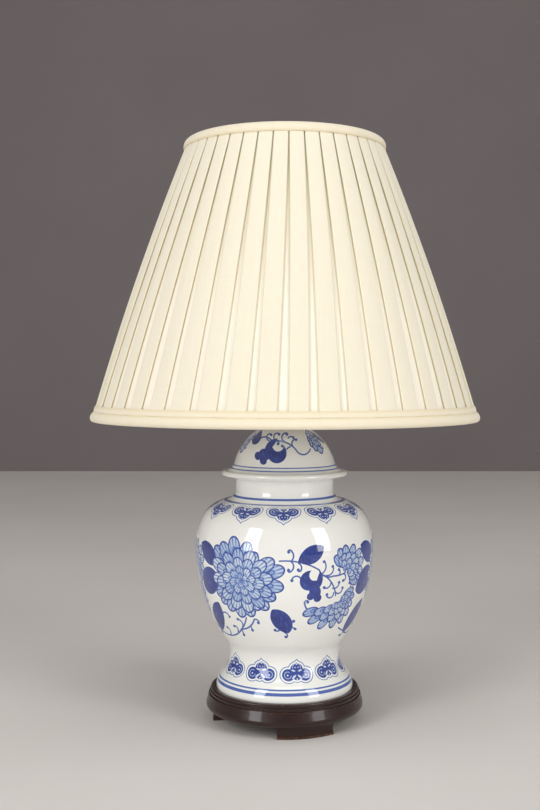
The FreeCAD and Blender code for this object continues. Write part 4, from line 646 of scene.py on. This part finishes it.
def fittings():
    """Materials of the parts inside the shade and under the jar."""
    brass_nodes = [
        "harp_bow", "harp_sleeve_left", "harp_sleeve_right", "harp_saddle", "harp_stud", "vase_cap",
        "neck_spacer", "finial_base", "finial_knob", "spider_arms", "spider_washer", "terminal_screws",
        "centre_contact",
    ]
    metal("polished_brass", srgb(232, 196, 122), srgb(196, 152, 78), 0.12, 0.05, brass_nodes)
    shell = ["socket_cap", "socket_shell"]
    metal("socket_brass", srgb(214, 180, 116), srgb(170, 132, 74), 0.22, 0.12, shell)
    steel_nodes = [
        "bottom_nut", "bottom_washer", "centre_rod", "cap_set_screw", "bulb_contact", "bulb_filament",
    ]
    metal("zinc_steel", srgb(200, 202, 204), srgb(150, 154, 160), 0.28, 0.1, steel_nodes)
    threads = ["bulb_base", "screw_shell"]
    metal("spun_aluminium", srgb(214, 215, 216), srgb(176, 178, 182), 0.24, 0.14, threads)

    paint = Paint("painted_wire", coat_weight=0.2, coat_roughness=0.3)
    fleck = paint.noise(paint.place(), 150.0, 3.0, 0.6)
    colour = paint.ramp(fleck, (0.35, srgb(214, 205, 184)), (0.7, srgb(236, 230, 214)))
    paint.feed(Base_Color=colour, Roughness=fleck.scaled(0.3, 0.3))
    paint.relief(fleck, 0.0001, 0.4)
    paint.finish("top_ring", "bottom_ring")

    paint = Paint("black_phenolic", specular_ior_level=0.45)
    fleck = paint.noise(paint.place(), 700.0, 2.0, 0.6)
    colour = paint.ramp(fleck, (0.3, srgb(20, 18, 17)), (0.75, srgb(44, 40, 37)))
    paint.feed(Base_Color=colour, Roughness=fleck.scaled(0.25, 0.28))
    paint.relief(fleck, 0.00006, 0.5)
    paint.finish("switch_knob", "switch_shaft", "socket_interior", "cord_bushing")

    paint = Paint("black_rubber", specular_ior_level=0.3)
    fleck = paint.noise(paint.place(), 900.0, 2.0, 0.6)
    paint.feed(
        Base_Color=paint.ramp(fleck, (0.3, srgb(26, 25, 25)), (0.7, srgb(42, 41, 40))),
        Roughness=fleck.scaled(0.2, 0.65),
    )
    paint.finish("lid_washer")

    paint = Paint("insulating_card", specular_ior_level=0.2)
    fibre = paint.noise(paint.stretched(paint.place(), 300, 300, 900), 1.0, 4.0, 0.7)
    paint.feed(
        Base_Color=paint.ramp(fibre, (0.3, srgb(120, 92, 62)), (0.7, srgb(156, 124, 88))),
        Roughness=fibre.scaled(0.2, 0.7),
    )
    paint.relief(fibre, 0.0001, 0.6)
    paint.finish("socket_liner")

    paint = Paint("black_sealing_glass", coat_weight=0.5, coat_roughness=0.05)
    fleck = paint.noise(paint.place(), 200.0)
    paint.feed(
        Base_Color=paint.ramp(fleck, (0.3, srgb(16, 14, 20)), (0.7, srgb(34, 28, 40))),
        Roughness=fleck.scaled(0.1, 0.08),
    )
    paint.finish("bulb_insulator")

    paint = Paint("frosted_bulb", coat_weight=0.3, coat_roughness=0.12, subsurface_weight=0.15)
    frost = paint.noise(paint.place(), 1200.0, 2.0, 0.6)
    paint.feed(
        Base_Color=paint.ramp(frost, (0.3, srgb(236, 235, 230)), (0.7, srgb(247, 246, 242))),
        Roughness=frost.scaled(0.16, 0.3),
    )
    paint.relief(frost, 0.00004, 0.4)
    paint.finish("bulb_glass")

    paint = Paint("clear_stem", transmission_weight=0.85, ior=1.5)
    streak = paint.noise(paint.stretched(paint.place(), 200, 200, 30), 1.0)
    paint.feed(
        Base_Color=paint.ramp(streak, (0.3, srgb(225, 235, 232)), (0.7, srgb(246, 250, 248))),
        Roughness=streak.scaled(0.1, 0.04),
    )
    paint.finish("bulb_stem")

    paint = Paint("styrene_backing", specular_ior_level=0.35)
    grain = paint.noise(paint.place(), 260.0, 3.0, 0.6)
    colour = paint.ramp(grain, (0.3, srgb(240, 236, 226)), (0.7, srgb(250, 247, 240)))
    seam = paint.place().parts()[0]
    join = (seam * 1000 - 12.0).line(1.2, 0.6) * paint.place().parts()[1].math("GREATER_THAN", 0.0)
    colour = paint.blend(join * 0.35, colour, srgb(206, 196, 172))
    paint.feed(Base_Color=colour, Roughness=grain.scaled(0.2, 0.45))
    paint.relief(grain, 0.00008, 0.4)
    paint.finish("shade_backing")


# ---------------------------------------------------------------- cloth

def cloth(name, warm, cool, thread, sheen=0.3):
    """Closely woven cloth in cylinder coordinates, with slubs, a soft sheen and thread relief."""
    paint = Paint(name, sheen_weight=sheen, sheen_roughness=0.5, specular_ior_level=0.15)
    azimuth, radius, height = round_the_pot(paint)
    around = azimuth * radius
    warp = (around * (TURN / thread)).math("SINE")
    weft = (height * (TURN / thread)).math("SINE")
    weave = (warp * weft).scaled(0.5, 0.5)
    slub = paint.noise(paint.pair(around * 0.9, height * 0.05, 0.0), 1.0, 3.0, 0.6)
    slub = slub + paint.noise(paint.pair(around * 0.05, height * 1.1, 4.0), 1.0, 3.0, 0.6)
    tone = slub.scaled(0.4, 0.05) + weave * 0.08
    colour = paint.ramp(tone, (0.25, cool), (0.75, warm))
    return paint, colour, weave, slub


def shade_cloth():
    """The pleated face: ivory, with painted shade where the folds turn in and where the pleats close
    near the top, and a paler pink-white between pleats, partly the inner cloth and partly painted light.
    """
    paint, colour, weave, slub = cloth("pleated_ivory", srgb(239, 232, 213), srgb(232, 223, 200), 0.55)
    fold = paint.attribute("fold")
    # painted shade: olive-yellow on the turned-in walls of each pleat gap
    fold_shade = fold.between(0.12, 0.45) * fold.between(1.0, 0.86)
    colour = paint.blend(fold_shade * 0.6, colour, srgb(216, 206, 156))
    # partly the inner cloth's pink-white, partly painted light: the floor between the pleats made paler
    # than the ivory face
    colour = paint.blend(fold.between(0.9, 0.99) * 0.8, colour, srgb(250, 242, 226))
    # painted shade: darker olive in the folds where the pleats close towards the top
    closed_fold_shade = paint.attribute("shut")
    colour = paint.blend(closed_fold_shade * fold.between(0.3, 0.9) * 0.5, colour, srgb(190, 180, 134))
    paint.feed(Base_Color=colour, Roughness=slub.scaled(0.1, 0.74))
    paint.relief(weave * 0.5 + slub * 0.5, 0.00015, 0.4)
    return paint.material


def trim_cloth():
    """The cream binding of the shade's edges, with painted shade along its stitched crease."""
    paint, colour, weave, slub = cloth("cream_binding", srgb(241, 233, 212), srgb(234, 222, 194), 0.5)
    crease = paint.attribute("crease")
    # painted shade: darker yellow along the stitched crease of each binding
    colour = paint.blend(crease.between(0.25, 1.0) * 0.6, colour, srgb(222, 204, 158))
    paint.feed(Base_Color=colour, Roughness=slub.scaled(0.1, 0.72))
    paint.relief(weave * 0.5 + slub, 0.0002, 0.5)
    return paint.material


def felt():
    paint = Paint("grey_felt", sheen_weight=0.4, specular_ior_level=0.1)
    hair = paint.noise(paint.stretched(paint.place(), 900, 900, 900), 1.0, 4.0, 0.8)
    paint.feed(
        Base_Color=paint.ramp(hair, (0.3, srgb(52, 56, 50)), (0.7, srgb(88, 92, 84))),
        Roughness=hair.scaled(0.1, 0.85),
    )
    paint.relief(hair, 0.0004, 0.7)
    return paint.material


# ---------------------------------------------------------------- modelling with the mesh tools

def leave_all():
    """Nothing picked, and no piece being edited."""
    if bpy.context.object and bpy.context.object.mode != "OBJECT":
        bpy.ops.object.mode_set(mode="OBJECT")
    bpy.ops.object.select_all(action="DESELECT")


def settle(name):
    """Names the piece just made and puts its place into its mesh."""
    piece = bpy.context.object
    piece.name = name
    piece.data.name = name
    bpy.ops.object.transform_apply(location=True, rotation=True, scale=True)
    return piece


def work_on(piece):
    """Opens a piece's mesh with all of it picked."""
    leave_all()
    piece.select_set(True)
    bpy.context.view_layer.objects.active = piece
    bpy.ops.object.mode_set(mode="EDIT")
    bpy.ops.mesh.select_mode(type="VERT")
    bpy.ops.mesh.select_all(action="SELECT")


def spun(name, outline, steps=192, smooth=40):
    """Extrudes a closed outline of (radius, level) points from one corner and spins it."""
    leave_all()
    x, z = outline[0]
    bpy.ops.mesh.primitive_plane_add(size=MM, location=(x * MM, 0, z * MM))
    piece = settle(name)
    work_on(piece)
    bpy.ops.mesh.merge(type="CENTER")
    for (x, z), (next_x, next_z) in zip(outline, outline[1:] + outline[:1]):
        step = ((next_x - x) * MM, 0, (next_z - z) * MM)
        bpy.ops.mesh.extrude_vertices_move(TRANSFORM_OT_translate={"value": step})
    bpy.ops.mesh.select_all(action="SELECT")
    bpy.ops.mesh.remove_doubles(threshold=1e-6)
    bpy.ops.mesh.spin(steps=steps, angle=TURN, center=(0, 0, 0), axis=(0, 0, 1))
    bpy.ops.mesh.select_all(action="SELECT")
    bpy.ops.mesh.remove_doubles(threshold=1e-6)
    bpy.ops.mesh.normals_make_consistent(inside=False)
    bpy.ops.object.mode_set(mode="OBJECT")
    bpy.ops.object.shade_smooth_by_angle(angle=math.radians(smooth))
    return piece


def stands_for(piece, node, material):
    """The piece takes the place of a CAD node, on the same body, with the material given."""
    piece.data.materials.clear()
    piece.data.materials.append(material)
    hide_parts(node)
    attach(piece, BODY_OF[node])


# ---------------------------------------------------------------- the pleated shade

SHADE_LOW, SHADE_HIGH = 277.6, 534.0
SHADE_WIDE, SHADE_NARROW = 177.1, 88.2
SHADE_BOW = 3.4
CHORD = math.hypot(SHADE_WIDE - SHADE_NARROW, SHADE_HIGH - SHADE_LOW)
SIDE_ARC = (CHORD * CHORD / 4 + SHADE_BOW * SHADE_BOW) / (2 * SHADE_BOW)
ARC_X = (SHADE_WIDE + SHADE_NARROW) / 2 - (SIDE_ARC - SHADE_BOW) * (SHADE_HIGH - SHADE_LOW) / CHORD
ARC_Z = (SHADE_LOW + SHADE_HIGH) / 2 - (SIDE_ARC - SHADE_BOW) * (SHADE_WIDE - SHADE_NARROW) / CHORD
COVER_LOW, COVER_HIGH = 280.6, 531.0
COVER_INSET = 2.6
PLEATS = 44
PLEAT_DEPTH = 1.9
GAP_LOW, GAP_HIGH = 8.9, 0.5
PLEAT_START, PLEAT_LEAN = -1.25, 2.9
COVER_LEVELS = 30


def face_radius(level, inset=0.0):
    """Radius of the shade's side at a level, set in by inset."""
    arc = SIDE_ARC - inset
    return ARC_X + math.sqrt(arc * arc - (level - ARC_Z) ** 2)


def rise(level):
    """0 at the shade's hem and 1 at its top."""
    return (level - SHADE_LOW) / (SHADE_HIGH - SHADE_LOW)


def gap_at(level):
    return GAP_LOW + (GAP_HIGH - GAP_LOW) * rise(level)


def pleat_section(level):
    """Half a pleat from the middle of its gap to the middle of its panel, as (distance along, depth)."""
    gap = gap_at(level) / 2
    pitch = TURN * face_radius(level) / PLEATS
    panel = pitch / 2 - gap
    tuck = min(1.3, panel * 0.3)
    crown = 0.32 * math.sin(math.pi * min(max(rise(level), 0.0), 1.0)) ** 0.6
    floor = [(along, PLEAT_DEPTH) for along in (0.0, gap * 0.5, gap * 0.92, gap + tuck)]
    turn = [
        (gap + tuck, PLEAT_DEPTH - 0.32), (gap + 0.3, PLEAT_DEPTH - 0.45),
        (gap + 0.02, PLEAT_DEPTH * 0.62), (gap - 0.02, PLEAT_DEPTH * 0.42),
        (gap + 0.1, PLEAT_DEPTH * 0.22), (gap + 0.38, 0.12), (gap + 0.9, 0.02),
    ]
    face = [
        (gap + 0.9 + (panel - 0.9) * share, -crown * math.sin(math.pi / 2 * share))
        for share in (0.25, 0.5, 0.75, 1.0)
    ]
    return floor + turn + face


def pleated_cover():
    """One pleat drawn on a grid and copied round; the small unevenness of hand pleating is added
    afterwards by uneven_pleats.
    """
    half = len(pleat_section(300))
    columns = 2 * half - 1
    rows = COVER_LEVELS + 3
    leave_all()
    bpy.ops.mesh.primitive_grid_add(x_subdivisions=columns - 1, y_subdivisions=rows - 1, size=1.0)
    piece = settle("pleated_cover_cloth")
    corners = sorted(piece.data.vertices, key=lambda v: (round(v.co.y, 4), round(v.co.x, 4)))
    for index, corner in enumerate(corners):
        row, column = divmod(index, columns)
        step = min(max(row - 1, 0), COVER_LEVELS)
        level = COVER_LOW + (COVER_HIGH - COVER_LOW) * step / COVER_LEVELS
        section = pleat_section(level)
        along, depth = section[column] if column < half else section[columns - 1 - column]
        radius = face_radius(level)
        pitch = TURN * radius / PLEATS
        if column >= half:
            along = pitch - along
        if row in (0, rows - 1):
            depth = COVER_INSET
            level = COVER_LOW if row == 0 else COVER_HIGH
        angle = along / radius - math.pi / 2 + math.radians(PLEAT_START + PLEAT_LEAN * rise(level))
        out = face_radius(level, depth)
        corner.co = (out * math.cos(angle) * MM, out * math.sin(angle) * MM, level * MM)
    work_on(piece)
    bpy.ops.mesh.spin(steps=PLEATS, angle=TURN, center=(0, 0, 0), axis=(0, 0, 1), dupli=True)
    bpy.ops.mesh.select_all(action="SELECT")
    bpy.ops.mesh.remove_doubles(threshold=2e-6)
    bpy.ops.mesh.normals_make_consistent(inside=False)
    bpy.ops.object.mode_set(mode="OBJECT")
    return piece


def uneven_pleats(piece):
    """Shifts each gap a little, breathes the panels, and notes on each corner how deep it lies."""
    chance = random.Random(7)
    drift = [
        (chance.uniform(-0.55, 0.55), chance.uniform(-0.5, 0.5), chance.uniform(-0.12, 0.12))
        for _ in range(PLEATS)
    ]
    breath = [(chance.uniform(0, TURN), chance.uniform(0.4, 1.0)) for _ in range(PLEATS)]
    fold = piece.data.attributes.new("fold", "FLOAT", "POINT")
    shut = piece.data.attributes.new("shut", "FLOAT", "POINT")
    for index, corner in enumerate(piece.data.vertices):
        x, y, level = corner.co.x / MM, corner.co.y / MM, corner.co.z / MM
        radius = math.hypot(x, y)
        face = face_radius(level)
        depth = face - radius
        share = rise(level)
        fold.data[index].value = min(max(depth / PLEAT_DEPTH, 0.0), 1.0)
        # how far the pleats have closed towards the top, which sets the painted shade in their folds
        shut.data[index].value = min(max((share - 0.35) / 0.5, 0.0), 1.0)
        if depth > COVER_INSET - 0.2:
            continue
        angle = math.degrees(math.atan2(y, x)) + 90 - PLEAT_START - PLEAT_LEAN * share
        place = angle * PLEATS / 360
        number = round(place)
        off = place - number
        first, second, wider = drift[number % PLEATS]
        near = max(0.0, 1 - (2 * abs(off)) ** 3)
        swell = math.sin(math.pi * share)
        move = (first * (1 - share) + second * swell) * near
        move += wider * gap_at(level) * near * (1 if off > 0 else -1) * min(1.0, abs(off) * 8)
        phase, much = breath[number % PLEATS]
        puff = 0.14 * much * swell * math.sin(level * 0.035 + phase) * (1 - fold.data[index].value)
        turn = move / face
        radius += puff
        here = math.atan2(y, x) + turn
        corner.co = (radius * math.cos(here) * MM, radius * math.sin(here) * MM, level * MM)
    leave_all()
    piece.select_set(True)
    bpy.context.view_layer.objects.active = piece
    bpy.ops.object.shade_smooth_by_angle(angle=math.radians(50))


def softly_creased(piece, seed, level_of_seam, depth, puckers, droop):
    """Draws a spun binding in along its stitched edge, with small slanting puckers."""
    chance = random.Random(seed)
    waves = [
        (chance.randint(9, puckers), chance.uniform(0, TURN), chance.uniform(0.3, 1.0))
        for _ in range(9)
    ]
    total = sum(strength for _, _, strength in waves)
    # the attribute marks how near each corner lies to the stitched seam, where shade is painted
    crease = piece.data.attributes.new("crease", "FLOAT", "POINT")
    for index, corner in enumerate(piece.data.vertices):
        x, y, level = corner.co.x / MM, corner.co.y / MM, corner.co.z / MM
        radius, angle = math.hypot(x, y), math.atan2(y, x)
        wave = sum(s * math.sin(n * angle + phase + level * 0.25) for n, phase, s in waves) / total
        near = max(0.0, 1 - abs(level - level_of_seam) / 3.0)
        crease.data[index].value = near
        radius += depth * wave * (0.35 + near)
        level += droop * wave * near
        corner.co = (radius * math.cos(angle) * MM, radius * math.sin(angle) * MM, level * MM)


def rounded(points, steps=5):
    """Points of a soft closed outline: a smooth curve drawn through its corners."""
    found = []
    count = len(points)
    for index in range(count):
        p0, p1, p2, p3 = (points[(index + n - 1) % count] for n in range(4))
        for step in range(steps):
            t = step / steps
            found.append(tuple(
                0.5 * (
                    2 * b + (c - a) * t + (2 * a - 5 * b + 4 * c - d) * t * t
                    + (3 * b - 3 * c + d - a) * t ** 3
                )
                for a, b, c, d in zip(p0, p1, p2, p3)
            ))
    return found


def outline_on_side(points, steps=5):
    """A soft outline from (level, inset, height) triples: radius at a level, set in, and its height."""
    return rounded([(face_radius(level, inset), height) for level, inset, height in points], steps)


def bindings(material):
    """The padded roll at the top, the padded roll at the hem and the flat band above it."""
    inner = 5.1
    top = outline_on_side([
        (525.0, -0.15, 525.0), (526.6, -1.5, 526.6), (529.6, -2.3, 529.6), (532.2, -1.7, 532.2),
        (533.7, 0.6, 533.9), (533.6, 3.4, 533.8), (532.2, 6.0, 532.3), (530.0, 6.5, 530.0),
        (528.2, inner + 0.2, 528.2), (530.9, inner, 531.15), (531.1, 2.4, 531.2),
        (530.9, -0.15, 531.0), (528.0, -0.15, 528.0),
    ])
    piece = spun("top_binding", top, 220, 60)
    softly_creased(piece, 3, 525.0, 0.14, 70, 0.3)
    stands_for(piece, "top_trim", material)
    roll = outline_on_side([
        (286.6, -0.15, 286.6), (284.0, -0.15, 284.0), (280.6, -0.15, 280.5), (280.6, 2.4, 280.4),
        (280.6, inner, 280.5), (283.0, inner + 0.1, 283.0), (281.4, 6.4, 281.4), (279.2, 5.6, 279.2),
        (277.9, 3.2, 277.9), (278.0, 0.4, 277.8), (279.6, -1.6, 279.6), (282.4, -2.3, 282.4),
        (285.0, -1.6, 285.0),
    ])
    piece = spun("hem_binding_roll", roll, 240, 60)
    softly_creased(piece, 5, 286.6, 0.12, 90, 0.2)
    stands_for(piece, "hem_roll", material)
    band = outline_on_side([
        (287.0, -0.14, 287.0), (287.1, -0.6, 287.1), (288.4, -0.75, 288.4), (290.2, -0.75, 290.2),
        (291.5, -0.6, 291.5), (291.7, -0.14, 291.7),
    ], 3)
    piece = spun("hem_binding_band", band, 240, 60)
    softly_creased(piece, 11, 291.6, 0.04, 90, 0.12)
    stands_for(piece, "hem_band", material)


def felt_ring(material):
    """The felt under the jar, pressed a little where the foot stands on it."""
    outline = [
        (13.2, 27.05), (13.2, 27.9), (40.0, 27.95), (56.0, 27.9), (62.6, 27.8), (62.7, 27.1),
        (40.0, 27.02),
    ]
    piece = spun("felt_under_jar", outline, 96, 30)
    stands_for(piece, "jar_pad", material)


# ---------------------------------------------------------------- the room

def sheet(name, width, depth):
    """A flat piece of the room, left open in edit mode."""
    leave_all()
    bpy.ops.mesh.primitive_plane_add(size=1.0, location=(0, 0, 0))
    piece = settle(name)
    work_on(piece)
    bpy.ops.transform.resize(value=(width, depth, 1.0), center_override=(0, 0, 0))
    return piece


def room():
    """A plain pale floor and a plain grey wall well behind the lamp, clear of every view."""
    piece = sheet("floor", 9.0, 7.0)
    bpy.ops.transform.translate(value=(0, -0.9, 0))
    mottled(piece, "pale_floor", srgb(222, 217, 211), srgb(229, 224, 219))
    piece = sheet("wall", 9.0, 5.0)
    bpy.ops.transform.rotate(value=math.pi / 2, orient_axis="X", center_override=(0, 0, 0))
    bpy.ops.transform.translate(value=(0, 2.6, 2.5))
    mottled(piece, "grey_wall", srgb(128, 120, 121), srgb(134, 126, 127))


def mottled(piece, name, dark, light):
    """Closes a piece of the room and gives it a faintly clouded matt paint."""
    bpy.ops.mesh.subdivide(number_cuts=3)
    bpy.ops.object.mode_set(mode="OBJECT")
    paint = Paint(name, specular_ior_level=0.2)
    cloud = paint.noise(paint.place(), 3.0, 3.0)
    colour = paint.ramp(cloud, (0.2, dark), (0.8, light))
    paint.feed(Base_Color=colour, Roughness=cloud.scaled(0.1, 0.7))
    piece.data.materials.append(paint.material)


photographer()
studio()
room()
jar_glaze()
lid_glaze()
stand_lacquer()
fittings()
cover_piece = pleated_cover()
uneven_pleats(cover_piece)
stands_for(cover_piece, "pleated_cover", shade_cloth())
bindings(trim_cloth())
felt_ring(felt())
